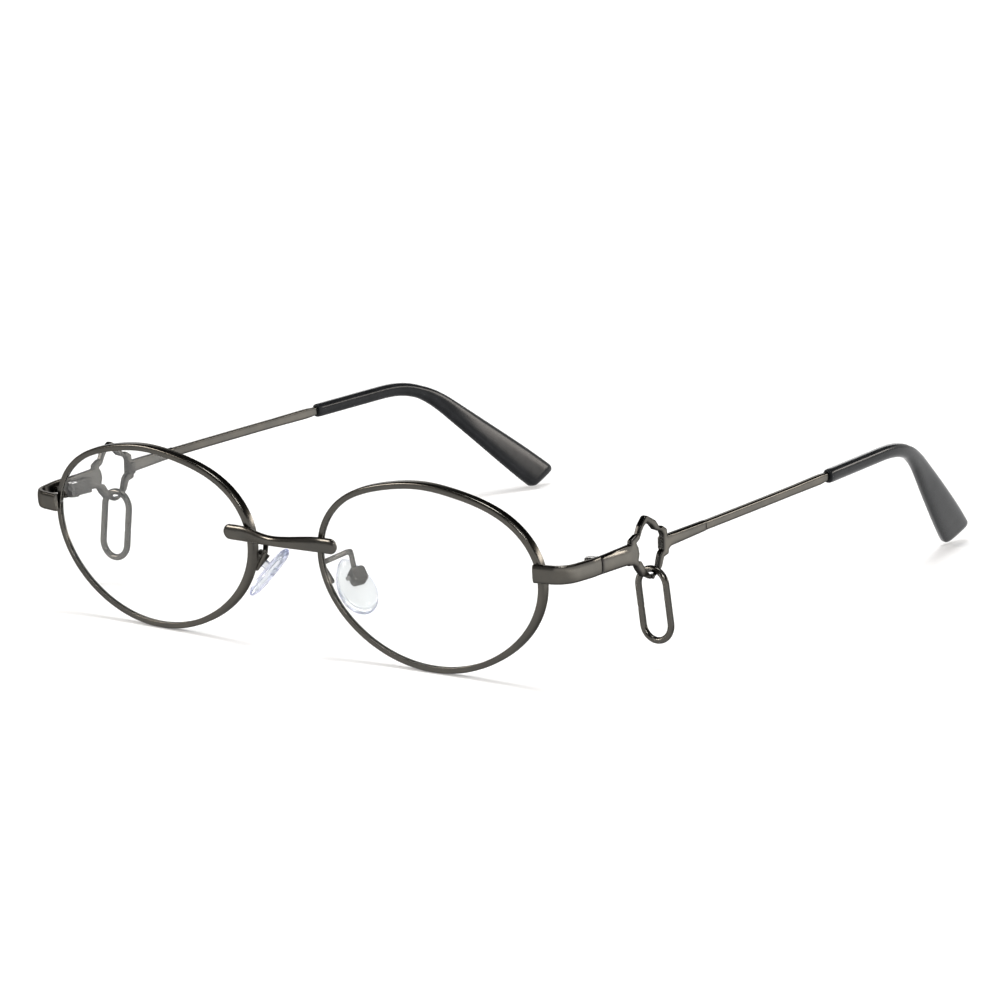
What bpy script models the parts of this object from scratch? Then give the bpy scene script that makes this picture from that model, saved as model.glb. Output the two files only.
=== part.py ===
"""Metal spectacle frame with clear lenses, folding temples and a wire link hanging on each temple.

All sizes are in metres. X runs across the front (+X is the wearer's left), +Y runs back along the
temples and +Z is up. Places along Y are measured from the datum plane just in front of the rims, and
the finished frame is then moved so that the middle of its length lies over the origin, with the rims
resting at Z = 0. The left half is modelled, and the right half is its mirror image, apart from the
two wire links, which hang at slightly different angles.
"""

import math

import bmesh
import bpy
import numpy as np
from mathutils import Matrix, Vector

# Lenses and rims
LENS_WIDTH = 0.0503
LENS_HEIGHT = 0.0350
LENS_GAP = 0.0180
LENS_THICKNESS = 0.0013
LENS_RIDGE_THICKNESS = 0.0003
LENS_CURVE_RADIUS = 0.168
OUTLINE_SQUARENESS = 0.00047
OUTLINE_TAPER = 0.00047
OUTLINE_FULLNESS = 0.00017
RIM_WIDTH = 0.00125
RIM_DEPTH = 0.0018
RIM_EDGE_ROUNDING = 0.0002
GROOVE_DEPTH = 0.0006
GROOVE_WIDTH = 0.0009
SLIT_WIDTH = 0.0003
FACE_FORM_ANGLE = math.radians(2.09)
FRONT_TILT_ANGLE = math.radians(5.19)
OUTLINE_POINTS = 64

# Clearances
GAP = 0.0003
PIN_CLEARANCE = 0.0003

# Bridge
BRIDGE_HALF_LENGTH = 0.0139
BRIDGE_END_HEIGHT = 0.0030
BRIDGE_MIDDLE_HEIGHT = 0.0020
BRIDGE_END_DEPTH = 0.0013
BRIDGE_MIDDLE_DEPTH = 0.0016
BRIDGE_RISE = 0.0036
BRIDGE_BOW = 0.0022

# End pieces
END_PIECE_HEIGHT = 0.0035
END_PIECE_THICKNESS = 0.0011
END_PIECE_RISE = 0.0036
END_PIECE_OVERLAP = 0.0011
END_PIECE_REACH = 0.0070
END_PIECE_SLANT = math.radians(10)
END_PIECE_TILT = math.radians(3.2)
END_PIECE_CORNER = 0.0058
END_PIECE_CORNER_RADIUS = 0.0040
END_PIECE_SHOULDER_DEPTH = 0.0095
END_PIECE_SHOULDER_RADIUS = 0.0090
END_PIECE_SEAM_DEPTH = 0.0117
EDGE_BEVEL = 0.00022

# Rim locks
LOCK_HEIGHT = 0.00075
LOCK_LENGTH = 0.0026
LOCK_DEPTH = 0.0022
LOCK_SETBACK = 0.0006
LOCK_SCREW_RADIUS = 0.00035
LOCK_SCREW_HEAD_HEIGHT = 0.0002

# Hinges
HINGE_INSET = 0.0032
HINGE_BEHIND_SEAM = 0.0008
KNUCKLE_RADIUS = 0.00125
KNUCKLE_HEIGHT = 0.00065
LEAF_THICKNESS = 0.0007
LEAF_LENGTH = 0.0050
FRONT_LEAF_LENGTH = 0.0029
FRONT_LEAF_SETBACK = 0.00045
LEAF_HEIGHT = 0.0026
TEMPLE_LEAF_DROP = 0.0004
HINGE_SCREW_RADIUS = 0.00045
HINGE_HEAD_RADIUS = 0.0009
HINGE_HEAD_HEIGHT = 0.0003
KNUCKLE_SIDES = 20

# Temple castings: strip, open ring and bar
CASTING_THICKNESS = 0.0013
STRIP_HEIGHT = 0.0034
STRIP_RISE = 0.00055
RING_TOP = 0.0071
RING_BOTTOM = 0.0053
RING_CENTRE = 0.0154
BAR_END = 0.0330
BAR_END_TOP = 0.0026
BAR_END_BOTTOM = 0.0006
BOSS_RADIUS = 0.00038
BOSS_HEIGHT = 0.00025
BOSS_OFFSET = 0.0001
BULGE_DEPTH = 0.0006
BULGE_LENGTH = 0.0016
BULGE_HEIGHT = 0.0024

# Temple rods and tips
ROD_LENGTH = 0.0433
ROD_HEIGHT = 0.00184
ROD_THICKNESS = 0.00115
ROD_FLARE_HEIGHT = 0.0020
ROD_NECK_HEIGHT = 0.0017
ROD_PITCH = math.radians(2.2)
INWARD_AT_BAR = math.radians(1.5)
INWARD_AT_BEND = math.radians(3.6)
INWARD_PADDLE = math.radians(15.8)
BEND_START = 0.0623
BEND_LENGTH = 0.0244
BEND_PITCH = math.radians(-37.1)
TIP_LENGTH = 0.0731
TIP_HEIGHT = 0.00285
TIP_THICKNESS = 0.00225
TIP_END_WIDTH = 0.0086
TIP_FLARE_START = 0.0320
TIP_END_ANGLE = math.radians(30)
TIP_TWIST = math.radians(-12)
TIP_ROUNDING = 0.0017
CORE_RADIUS = 0.00045
CORE_LENGTH = 0.0180

# Wire links
LINK_WIRE_RADIUS = 0.00064
LINK_WIDTH = 0.0077
LINK_LENGTH = 0.0149
LINK_OFFSET = 0.00065
LINK_SEAT = 0.0162
LEFT_LINK_ANGLE = math.radians(8.0)
RIGHT_LINK_ANGLE = math.radians(6.0)
LINK_ARC_STEPS = 14

# Nose pads
PAD_LENGTH = 0.0122
PAD_WIDTH = 0.0074
PAD_THICKNESS = 0.0023
PAD_CENTRE = Vector((0.01093, 0.00922, 0.01268))
PAD_LONG_AXIS = Vector((0.63, -0.18, -0.755)).normalized()
PAD_OUTWARD = Vector((0.654, -0.393, 0.639)).normalized()
BOX_SIZE = 0.0031
BOX_DEPTH = 0.0024
BOX_WALL = 0.0004
BOX_STAND_OFF = 0.0031
BOX_OFFSET = 0.0007
LUG_WIDTH = 0.0012
LUG_LENGTH = 0.0014
PAD_SCREW_DEPTH = 0.0002
PAD_SCREW_RADIUS = 0.00025
PAD_SCREW_HEAD_RADIUS = 0.0006
PAD_SCREW_HEAD_HEIGHT = 0.0004
ARM_RADIUS = 0.0005
ARM_FOOT_DROP = 0.0022
ARM_SHOULDER_RISE = 0.0010
ARM_BEND = (-0.0006, -0.0002, 0.0030)
ARM_BEND_CUT = 0.0013


def clear_scene():
    """Removes whatever the scene holds at the start."""
    for item in list(bpy.data.objects):
        bpy.data.objects.remove(item, do_unlink=True)


def make_collection(name, hidden=False):
    """A collection of the scene, hidden from renders when it holds cutters."""
    collection = bpy.data.collections.new(name)
    collection.hide_render = hidden
    bpy.context.scene.collection.children.link(collection)
    return collection


def make_material(name, colour, roughness, metallic, transmission=0.0):
    """A Principled material of one colour."""
    material = bpy.data.materials.new(name)
    material.use_nodes = True
    shader = material.node_tree.nodes["Principled BSDF"]
    shader.inputs["Base Color"].default_value = (*colour, 1.0)
    shader.inputs["Roughness"].default_value = roughness
    shader.inputs["Metallic"].default_value = metallic
    shader.inputs["Transmission Weight"].default_value = transmission
    material.diffuse_color = (*colour, 1.0)
    return material


def gunmetal():
    return make_material("gunmetal", (0.16, 0.15, 0.135), 0.32, 1.0)


def bright_steel():
    return make_material("bright_steel", (0.55, 0.54, 0.52), 0.25, 1.0)


def clear_lens():
    return make_material("clear_lens", (0.98, 0.99, 1.0), 0.02, 0.0, 1.0)


def clear_silicone():
    return make_material("clear_silicone", (0.90, 0.90, 0.98), 0.15, 0.0, 0.9)


def charcoal_acetate():
    return make_material("charcoal_acetate", (0.025, 0.027, 0.029), 0.22, 0.0)


def smooth(value):
    """Smoothstep from 0 to 1, held level outside that range."""
    t = np.clip(value, 0.0, 1.0)
    return t * t * (3.0 - 2.0 * t)


def add_object(name, mesh, material, collection):
    """Links a mesh as one object, shaded smooth with sharp edges kept."""
    item = bpy.data.objects.new(name, mesh)
    collection.objects.link(item)
    if material is not None:
        mesh.materials.clear()
        mesh.materials.append(material)
    mesh.shade_smooth()
    mesh.set_sharp_from_angle(angle=math.radians(35))
    return item


def loft(name, rings, material, collection, cyclic=False):
    """Joins unlike closed sections, an array of shape (sections, points, 3), into one closed body."""
    sections, points = rings.shape[:2]
    shape = bmesh.new()
    rows = [[shape.verts.new(point) for point in ring] for ring in rings.tolist()]
    for i in range(sections if cyclic else sections - 1):
        row, after = rows[i], rows[(i + 1) % sections]
        for j in range(points):
            k = (j + 1) % points
            shape.faces.new((row[j], row[k], after[k], after[j]))
    if not cyclic:
        shape.faces.new(rows[0][::-1])
        shape.faces.new(rows[-1])
    bmesh.ops.recalc_face_normals(shape, faces=shape.faces)
    mesh = bpy.data.meshes.new(name)
    shape.to_mesh(mesh)
    shape.free()
    return add_object(name, mesh, material, collection)


def curve_to_mesh(name, curve, matrix, material, collection):
    """Turns a curve into a welded mesh object in the curve's place."""
    guide = bpy.data.objects.new(name + "_guide", curve)
    collection.objects.link(guide)
    guide.matrix_world = matrix
    bpy.context.view_layer.update()
    graph = bpy.context.evaluated_depsgraph_get()
    mesh = bpy.data.meshes.new_from_object(guide.evaluated_get(graph))
    bpy.data.objects.remove(guide, do_unlink=True)
    shape = bmesh.new()
    shape.from_mesh(mesh)
    bmesh.ops.remove_doubles(shape, verts=shape.verts, dist=0.000002)
    bmesh.ops.recalc_face_normals(shape, faces=shape.faces)
    shape.to_mesh(mesh)
    shape.free()
    mesh.name = name
    item = add_object(name, mesh, material, collection)
    item.matrix_world = matrix
    return item


def add_spline(curve, points, cyclic):
    """Adds one straight-segment spline through the points."""
    spline = curve.splines.new("POLY")
    spline.points.add(len(points) - 1)
    for target, point in zip(spline.points, points):
        target.co = (*point, 0.0, 1.0) if len(point) == 2 else (*point, 1.0)
    spline.use_cyclic_u = cyclic


def plate(name, outlines, thickness, matrix, material, collection, bevel=0.0):
    """A flat plate from closed outlines, the first its edge and the others its holes."""
    curve = bpy.data.curves.new(name, "CURVE")
    curve.dimensions = "2D"
    curve.fill_mode = "BOTH"
    curve.extrude = thickness / 2
    for outline in outlines:
        add_spline(curve, outline, True)
    item = curve_to_mesh(name, curve, matrix, material, collection)
    if bevel:
        chamfer = item.modifiers.new("edges", "BEVEL")
        chamfer.width = bevel
        chamfer.segments = 1
        chamfer.limit_method = "ANGLE"
        chamfer.angle_limit = math.radians(60)
    return item


def wire(name, points, radius, material, collection, cyclic=False):
    """A round wire through the points, with capped ends unless it closes on itself."""
    curve = bpy.data.curves.new(name, "CURVE")
    curve.dimensions = "3D"
    curve.bevel_depth = radius
    curve.bevel_resolution = 2
    curve.use_fill_caps = not cyclic
    add_spline(curve, points, cyclic)
    return curve_to_mesh(name, curve, Matrix.Identity(4), material, collection)


def box(name, size, matrix, material, collection):
    """A box of the given size, centred in the frame of the matrix."""
    shape = bmesh.new()
    bmesh.ops.create_cube(shape, size=1.0)
    bmesh.ops.scale(shape, vec=Vector(size), verts=shape.verts)
    mesh = bpy.data.meshes.new(name)
    shape.to_mesh(mesh)
    shape.free()
    item = add_object(name, mesh, material, collection)
    item.matrix_world = matrix
    return item


def cylinder(name, radius, length, matrix, material, collection, sides=KNUCKLE_SIDES):
    """A capped cylinder along the local Z of the matrix, centred on it."""
    shape = bmesh.new()
    bmesh.ops.create_cone(
        shape, cap_ends=True, segments=sides, radius1=radius, radius2=radius, depth=length
    )
    mesh = bpy.data.meshes.new(name)
    shape.to_mesh(mesh)
    shape.free()
    item = add_object(name, mesh, material, collection)
    item.matrix_world = matrix
    return item


def turned(name, profile, matrix, material, collection, sides=KNUCKLE_SIDES):
    """A turned body: a profile of (radius, height) from top to bottom, spun about local Z."""
    shape = bmesh.new()
    corners = [shape.verts.new((radius, 0.0, height)) for radius, height in profile]
    for first, second in zip(corners, corners[1:]):
        shape.edges.new((first, second))
    mesh = bpy.data.meshes.new(name)
    shape.to_mesh(mesh)
    shape.free()
    item = add_object(name, mesh, material, collection)
    item.matrix_world = matrix
    spin = item.modifiers.new("spin", "SCREW")
    spin.steps = sides
    spin.render_steps = sides
    spin.use_merge_vertices = True
    spin.merge_threshold = 0.00001
    return item


def combine(item, other, operation):
    """Adds a Boolean with a helper, which is then hidden."""
    change = item.modifiers.new(operation.lower(), "BOOLEAN")
    change.object = other
    change.operation = operation
    change.solver = "EXACT"
    other.hide_render = True
    other.display_type = "WIRE"


def rounded(corners, steps=3):
    """An outline with round corners, from (x, y, radius) corners."""
    places = [Vector(corner[:2]) for corner in corners]
    outline = []
    for i, (_, _, radius) in enumerate(corners):
        here = places[i]
        before = places[i - 1] - here
        after = places[(i + 1) % len(places)] - here
        half = before.angle(after) / 2
        cut = radius / math.tan(half)
        cut = min(cut, 0.48 * before.length, 0.48 * after.length)
        radius = cut * math.tan(half)
        middle = (before.normalized() + after.normalized()).normalized()
        centre = here + middle * (radius / math.sin(half))
        start = here + before.normalized() * cut - centre
        end = here + after.normalized() * cut - centre
        turn = math.atan2(start.x * end.y - start.y * end.x, start.dot(end))
        for step in range(steps + 1):
            spoke = start.copy()
            spoke.rotate(Matrix.Rotation(turn * step / steps, 2))
            outline.append(tuple(centre + spoke))
    return outline


def rim_half_sizes():
    """Half the width and half the height of the rim's outer outline."""
    lens_to_rim = RIM_WIDTH - GROOVE_DEPTH + GAP
    return LENS_WIDTH / 2 + lens_to_rim, LENS_HEIGHT / 2 + lens_to_rim


def front_outline(inset=0.0):
    """The rim's outer outline, moved inwards along its normals: an array of (x, z) about its centre."""
    half_width, half_height = rim_half_sizes()
    angle = np.arange(OUTLINE_POINTS) * 2 * np.pi / OUTLINE_POINTS
    radius = (half_width + half_height) / 2 - OUTLINE_SQUARENESS
    radius = radius + (half_width - half_height) / 2 * np.cos(2 * angle)
    radius = radius + OUTLINE_SQUARENESS * np.cos(4 * angle) + OUTLINE_TAPER * np.sin(3 * angle)
    radius = radius + OUTLINE_FULLNESS * np.sin(5 * angle)
    outline = np.stack([radius * np.cos(angle), radius * np.sin(angle)], axis=1)
    along = np.roll(outline, -1, axis=0) - np.roll(outline, 1, axis=0)
    along /= np.linalg.norm(along, axis=1)[:, None]
    inward = np.stack([-along[:, 1], along[:, 0]], axis=1)
    return outline + inward * inset


def dish(points):
    """How far the lens curve lies behind its middle, at (x, z) points about the lens centre."""
    return (points**2).sum(axis=-1) / (2 * LENS_CURVE_RADIUS)


def lens_centre():
    """The lens centre, set so that the rim's lowest point is at Z = 0."""
    outline = front_outline()
    lowest = outline[:, 1].argmin()
    drop = -outline[lowest, 1] * math.cos(FRONT_TILT_ANGLE)
    lift = dish(outline[lowest]) * math.sin(FRONT_TILT_ANGLE)
    return Vector((LENS_GAP / 2 + LENS_WIDTH / 2, 0.0, drop - lift))


def front_matrix():
    """The left lens's frame: face form turns its outer side back, and the tilt its bottom."""
    turn = Matrix.Rotation(FRONT_TILT_ANGLE, 4, "X") @ Matrix.Rotation(FACE_FORM_ANGLE, 4, "Z")
    return Matrix.Translation(lens_centre()) @ turn


def on_front(points, depth):
    """Places (x, z) points about the lens centre, at a depth behind the rim's front edge."""
    local = np.stack([points[:, 0], dish(points) + depth, points[:, 1]], axis=1)
    matrix = np.array(front_matrix())
    return local @ matrix[:3, :3].T + matrix[:3, 3]


def rim_edge(height, depth=0.0):
    """The point of the rim's outer edge on the temple side at a world height."""
    outline = on_front(front_outline(), depth)
    outer = outline[outline[:, 0] > lens_centre().x]
    order = outer[:, 2].argsort()
    return Vector([float(np.interp(height, outer[order, 2], outer[order, i])) for i in range(3)])


def rim_outer_reach():
    """How far out the rims reach along X."""
    return float(on_front(front_outline(), 0.0)[:, 0].max())


def temple_face_x():
    """The outer face of the temples along X."""
    return rim_outer_reach() + END_PIECE_REACH


def end_piece_height():
    """The middle of the end piece at its rim end, above the surface."""
    return lens_centre().z + END_PIECE_RISE


def seam_point():
    """The middle of the seam between the end piece and the temple, on their outer face."""
    return Vector((temple_face_x(), END_PIECE_SEAM_DEPTH, end_piece_height() + STRIP_RISE))


def hinge_axis():
    """The hinge axis, at the height of its middle knuckle."""
    seam = seam_point()
    return Vector((seam.x - HINGE_INSET, seam.y + HINGE_BEHIND_SEAM, seam.z - STRIP_RISE / 2))


def make_rim(material, parts, cutters):
    """The grooved eye wire, swept round the lens outline, with its slit behind the end piece."""
    groove_front = (RIM_DEPTH - GROOVE_WIDTH) / 2
    groove_back = groove_front + GROOVE_WIDTH
    rounding = RIM_EDGE_ROUNDING
    section = [
        (0.0, rounding),
        (0.0, RIM_DEPTH - rounding),
        (rounding, RIM_DEPTH),
        (RIM_WIDTH, RIM_DEPTH),
        (RIM_WIDTH, groove_back),
        (RIM_WIDTH - GROOVE_DEPTH, groove_back),
        (RIM_WIDTH - GROOVE_DEPTH, groove_front),
        (RIM_WIDTH, groove_front),
        (RIM_WIDTH, 0.0),
        (rounding, 0.0),
    ]
    rings = np.stack([on_front(front_outline(inset), depth) for inset, depth in section], axis=1)
    rim = loft("left_rim", rings, material, parts, cyclic=True)
    edge = rim_edge(end_piece_height(), RIM_DEPTH / 2)
    size = (6 * RIM_WIDTH, 3 * RIM_DEPTH, SLIT_WIDTH)
    slit = box("rim_slit", size, Matrix.Translation(edge), None, cutters)
    combine(rim, slit, "DIFFERENCE")
    return rim


def make_lens(material, parts):
    """The dished lens, with a thin ridge round its edge that lies in the rim's groove."""
    front = (RIM_DEPTH - LENS_THICKNESS) / 2
    ridge = (RIM_DEPTH - LENS_RIDGE_THICKNESS) / 2
    body_inset = RIM_WIDTH + GAP
    ridge_inset = RIM_WIDTH - GROOVE_DEPTH + GAP
    body = front_outline(body_inset)
    rings = [on_front(body * share, front) for share in (0.05, 0.35, 0.7, 1.0)]
    rings.append(on_front(body, ridge))
    rings.append(on_front(front_outline(ridge_inset), ridge))
    rings.append(on_front(front_outline(ridge_inset), ridge + LENS_RIDGE_THICKNESS))
    rings.append(on_front(body, ridge + LENS_RIDGE_THICKNESS))
    rings.extend(on_front(body * share, front + LENS_THICKNESS) for share in (1.0, 0.7, 0.35, 0.05))
    return loft("left_lens", np.array(rings), material, parts)


def oval(centre, across, up, half_width, half_height, power=2.0, points=16):
    """A closed section: a superellipse in the plane of two unit vectors."""
    angle = np.arange(points) * 2 * np.pi / points
    cosine, sine = np.cos(angle), np.sin(angle)
    wide = np.sign(cosine) * np.abs(cosine) ** (2 / power) * half_width
    tall = np.sign(sine) * np.abs(sine) ** (2 / power) * half_height
    return np.array(centre) + wide[:, None] * np.array(across) + tall[:, None] * np.array(up)


def bridge_depth_at_rims():
    """Where the back of the bridge lies: one gap in front of the rims' nasal sides."""
    outline = on_front(front_outline(), 0.0)
    height = lens_centre().z + BRIDGE_RISE
    near = np.abs(outline[:, 2] - height) < BRIDGE_END_HEIGHT
    nasal = outline[:, 0] < lens_centre().x
    return float(outline[near & nasal, 1].min()) - GAP


def make_bridge(material, parts):
    """The bridge bar: round lobes across both rims and a slimmer middle that bows forward."""
    height = lens_centre().z + BRIDGE_RISE
    back = bridge_depth_at_rims()
    share = np.array([-1.0, -0.985, -0.95, -0.89, -0.78, -0.62, -0.46, -0.3, -0.15, 0.0])
    share = np.concatenate([share, -share[-2::-1]])
    round_end = np.sqrt(np.clip(1 - (np.clip(np.abs(share) - 0.89, 0, None) / 0.115) ** 2, 0, 1))
    widen = smooth(np.abs(share) / 0.75)
    rings = []
    for along, end, wide in zip(share, round_end, widen):
        tall = (BRIDGE_MIDDLE_HEIGHT + (BRIDGE_END_HEIGHT - BRIDGE_MIDDLE_HEIGHT) * wide) * end
        deep = (BRIDGE_MIDDLE_DEPTH + (BRIDGE_END_DEPTH - BRIDGE_MIDDLE_DEPTH) * wide) * end
        y = back - BRIDGE_END_DEPTH / 2 - BRIDGE_BOW * (1 - wide)
        centre = (along * BRIDGE_HALF_LENGTH, y, height)
        rings.append(oval(centre, (0, 1, 0), (0, 0, 1), deep / 2, tall / 2, 2.4))
    return loft("bridge", np.array(rings), material, parts)


def end_piece_line(x):
    """The outer and the inner line of the end piece's slanted front, seen from above, at an X."""
    rim = rim_edge(end_piece_height() + END_PIECE_HEIGHT / 2)
    slope = math.tan(END_PIECE_SLANT)
    inner = rim.y - GAP + (x - rim_edge(end_piece_height()).x) * slope
    return inner - END_PIECE_THICKNESS / math.cos(END_PIECE_SLANT), inner


def end_piece_plan():
    """The end piece from above: a slanted front, a corner, a lean outwards and a straight seam end."""
    half = END_PIECE_THICKNESS / 2
    start_x = rim_edge(end_piece_height()).x - END_PIECE_OVERLAP
    corner_x = start_x + END_PIECE_CORNER
    middle_x = temple_face_x() - half
    seam = END_PIECE_SEAM_DEPTH - SLIT_WIDTH / 2
    guides = [
        (start_x, sum(end_piece_line(start_x)) / 2, 0.0),
        (corner_x, sum(end_piece_line(corner_x)) / 2, END_PIECE_CORNER_RADIUS - half),
        (middle_x, END_PIECE_SHOULDER_DEPTH, END_PIECE_SHOULDER_RADIUS - half),
        (middle_x, seam, 0.0),
    ]
    start, *bends, end = rounded(guides, 6)[6:22]
    middle = np.array([start, *bends, end])
    along = np.gradient(middle, axis=0)
    along /= np.linalg.norm(along, axis=1)[:, None]
    inward = np.stack([-along[:, 1], along[:, 0]], axis=1) * half
    return np.concatenate([middle - inward, (middle + inward)[::-1]]).tolist()


def make_end_piece(material, parts):
    """The flat strip that wraps from the front of the rim round to the hinge."""
    place = Matrix.Translation((0.0, 0.0, end_piece_height()))
    matrix = place @ Matrix.Rotation(END_PIECE_TILT, 4, "X")
    return plate(
        "left_end_piece", [end_piece_plan()], END_PIECE_HEIGHT, matrix, material, parts, EDGE_BEVEL
    )


def lock_middle(level):
    """The middle of a rim lock block, one gap outside the rim and some way behind the end piece."""
    x = rim_outer_reach() + GAP + LOCK_LENGTH / 2
    lean = (LOCK_HEIGHT + SLIT_WIDTH) * math.sin(END_PIECE_TILT)
    y = end_piece_line(x + LOCK_LENGTH / 2)[1] + lean + LOCK_SETBACK + LOCK_DEPTH / 2
    offset = (SLIT_WIDTH + LOCK_HEIGHT) / 2
    return Vector((x, y, end_piece_height() + level * offset))


def make_rim_lock(name, level, material, parts, cutters):
    """One block of the rim lock, with the hole for its screw."""
    middle = lock_middle(level)
    block = box(name, (LOCK_LENGTH, LOCK_DEPTH, LOCK_HEIGHT), Matrix.Translation(middle), material, parts)
    hole = LOCK_SCREW_RADIUS + PIN_CLEARANCE
    drill = cylinder(name + "_hole", hole, 3 * LOCK_HEIGHT, Matrix.Translation(middle), None, cutters, 16)
    combine(block, drill, "DIFFERENCE")
    return block


def make_lock_screw(material, parts):
    """The screw that draws the two lock blocks together."""
    middle = lock_middle(0)
    reach = SLIT_WIDTH / 2 + LOCK_HEIGHT
    head = 1.9 * LOCK_SCREW_RADIUS
    profile = [
        (0.0, reach + GAP + LOCK_SCREW_HEAD_HEIGHT),
        (head, reach + GAP + LOCK_SCREW_HEAD_HEIGHT),
        (head, reach + GAP),
        (LOCK_SCREW_RADIUS, reach + GAP),
        (LOCK_SCREW_RADIUS, -reach),
        (0.0, -reach),
    ]
    return turned("left_rim_lock_screw", profile, Matrix.Translation(middle), material, parts, 14)


def make_leaf(name, forward, levels, material, parts, cutters):
    """A hinge leaf: a plate against the strip, a web and its knuckles, drilled for the screw."""
    axis = hinge_axis()
    strip_thickness = END_PIECE_THICKNESS if forward else CASTING_THICKNESS
    outer = temple_face_x() - strip_thickness - GAP - (FRONT_LEAF_SETBACK if forward else 0.0)
    length = FRONT_LEAF_LENGTH if forward else LEAF_LENGTH
    near = KNUCKLE_RADIUS + GAP
    sign = -1 if forward else 1
    drop = 0.0 if forward else TEMPLE_LEAF_DROP
    middle = (outer - LEAF_THICKNESS / 2, axis.y + sign * (near + length / 2), axis.z - drop / 2)
    size = (LEAF_THICKNESS, length, LEAF_HEIGHT + drop)
    leaf = box(name, size, Matrix.Translation(middle), material, parts)
    for level in levels:
        height = axis.z + level * (KNUCKLE_HEIGHT + GAP)
        centre = Matrix.Translation((axis.x, axis.y, height))
        knuckle = cylinder(f"{name}_knuckle", KNUCKLE_RADIUS, KNUCKLE_HEIGHT, centre, None, cutters)
        combine(leaf, knuckle, "UNION")
        web_length = near + LEAF_THICKNESS
        web_width = outer - LEAF_THICKNESS / 2 - axis.x
        web_middle = (axis.x + web_width / 2, axis.y + sign * web_length / 2, height)
        web_size = (web_width, web_length, 0.9 * KNUCKLE_HEIGHT)
        web = box(f"{name}_web", web_size, Matrix.Translation(web_middle), None, cutters)
        combine(leaf, web, "UNION")
    hole = HINGE_SCREW_RADIUS + PIN_CLEARANCE / 2
    drill = cylinder(f"{name}_hole", hole, 5 * KNUCKLE_HEIGHT, Matrix.Translation(axis), None, cutters)
    combine(leaf, drill, "DIFFERENCE")
    return leaf


def make_hinge_screw(material, parts):
    """The hinge screw, with its head above the top knuckle."""
    reach = 1.5 * KNUCKLE_HEIGHT + GAP
    top = reach + GAP + HINGE_HEAD_HEIGHT
    profile = [
        (0.0, top),
        (0.75 * HINGE_HEAD_RADIUS, top),
        (HINGE_HEAD_RADIUS, top - HINGE_HEAD_HEIGHT / 2),
        (HINGE_HEAD_RADIUS, reach + GAP),
        (HINGE_SCREW_RADIUS, reach + GAP),
        (HINGE_SCREW_RADIUS, -reach),
        (0.0, -reach),
    ]
    return turned("left_hinge_screw", profile, Matrix.Translation(hinge_axis()), material, parts)


def casting_outline():
    """The casting's edge, as offsets back and up from the seam: strip, ring and bar in one line."""
    start = SLIT_WIDTH / 2
    half = STRIP_HEIGHT / 2
    middle = RING_CENTRE
    return [
        (start, -half, EDGE_BEVEL / 2),
        (start, half, EDGE_BEVEL / 2),
        (middle - 0.00615, half + 0.0006, 0.00025),
        (middle - 0.00615, half + 0.0013, 0.0005),
        (middle - 0.0045, RING_TOP - 0.00325, 0.0005),
        (middle - 0.00405, RING_TOP - 0.00335, 0.0002),
        (middle - 0.00335, RING_TOP - 0.00175, 0.0015),
        (middle - 0.00155, RING_TOP, 0.0009),
        (middle + 0.0015, RING_TOP - 0.00155, 0.0018),
        (middle + 0.00285, RING_TOP - 0.0032, 0.0003),
        (middle + 0.00365, RING_TOP - 0.00295, 0.0005),
        (middle + 0.0050, RING_TOP - 0.00375, 0.0007),
        (middle + 0.0051, BAR_END_TOP - 0.0005, 0.0002),
        (BAR_END, BAR_END_TOP, EDGE_BEVEL / 2),
        (BAR_END, BAR_END_BOTTOM, EDGE_BEVEL / 2),
        (middle + 0.0062, BAR_END_BOTTOM - 0.0009, 0.0004),
        (middle + 0.00555, BAR_END_BOTTOM - 0.0013, 0.0003),
        (middle + 0.00555, BAR_END_BOTTOM - 0.0021, 0.0006),
        (middle + 0.0040, -RING_BOTTOM + 0.0034, 0.0003),
        (middle + 0.0033, -RING_BOTTOM + 0.00175, 0.0006),
        (middle + 0.0025, -RING_BOTTOM + 0.00095, 0.0006),
        (middle + 0.0008, -RING_BOTTOM + 0.0001, 0.0005),
        (middle - 0.0003, -RING_BOTTOM, 0.0005),
        (middle - 0.0010, -RING_BOTTOM + 0.0004, 0.0002),
        (middle - 0.0027, -RING_BOTTOM + 0.0009, 0.0008),
        (middle - 0.0040, -RING_BOTTOM + 0.00225, 0.0006),
        (middle - 0.0046, -half - 0.0005, 0.0003),
        (middle - 0.0056, -half - 0.00005, 0.0004),
        (middle - 0.0066, -half - 0.00005, 0.0003),
        (middle - 0.0070, -half + 0.0002, 0.0003),
    ]


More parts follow.
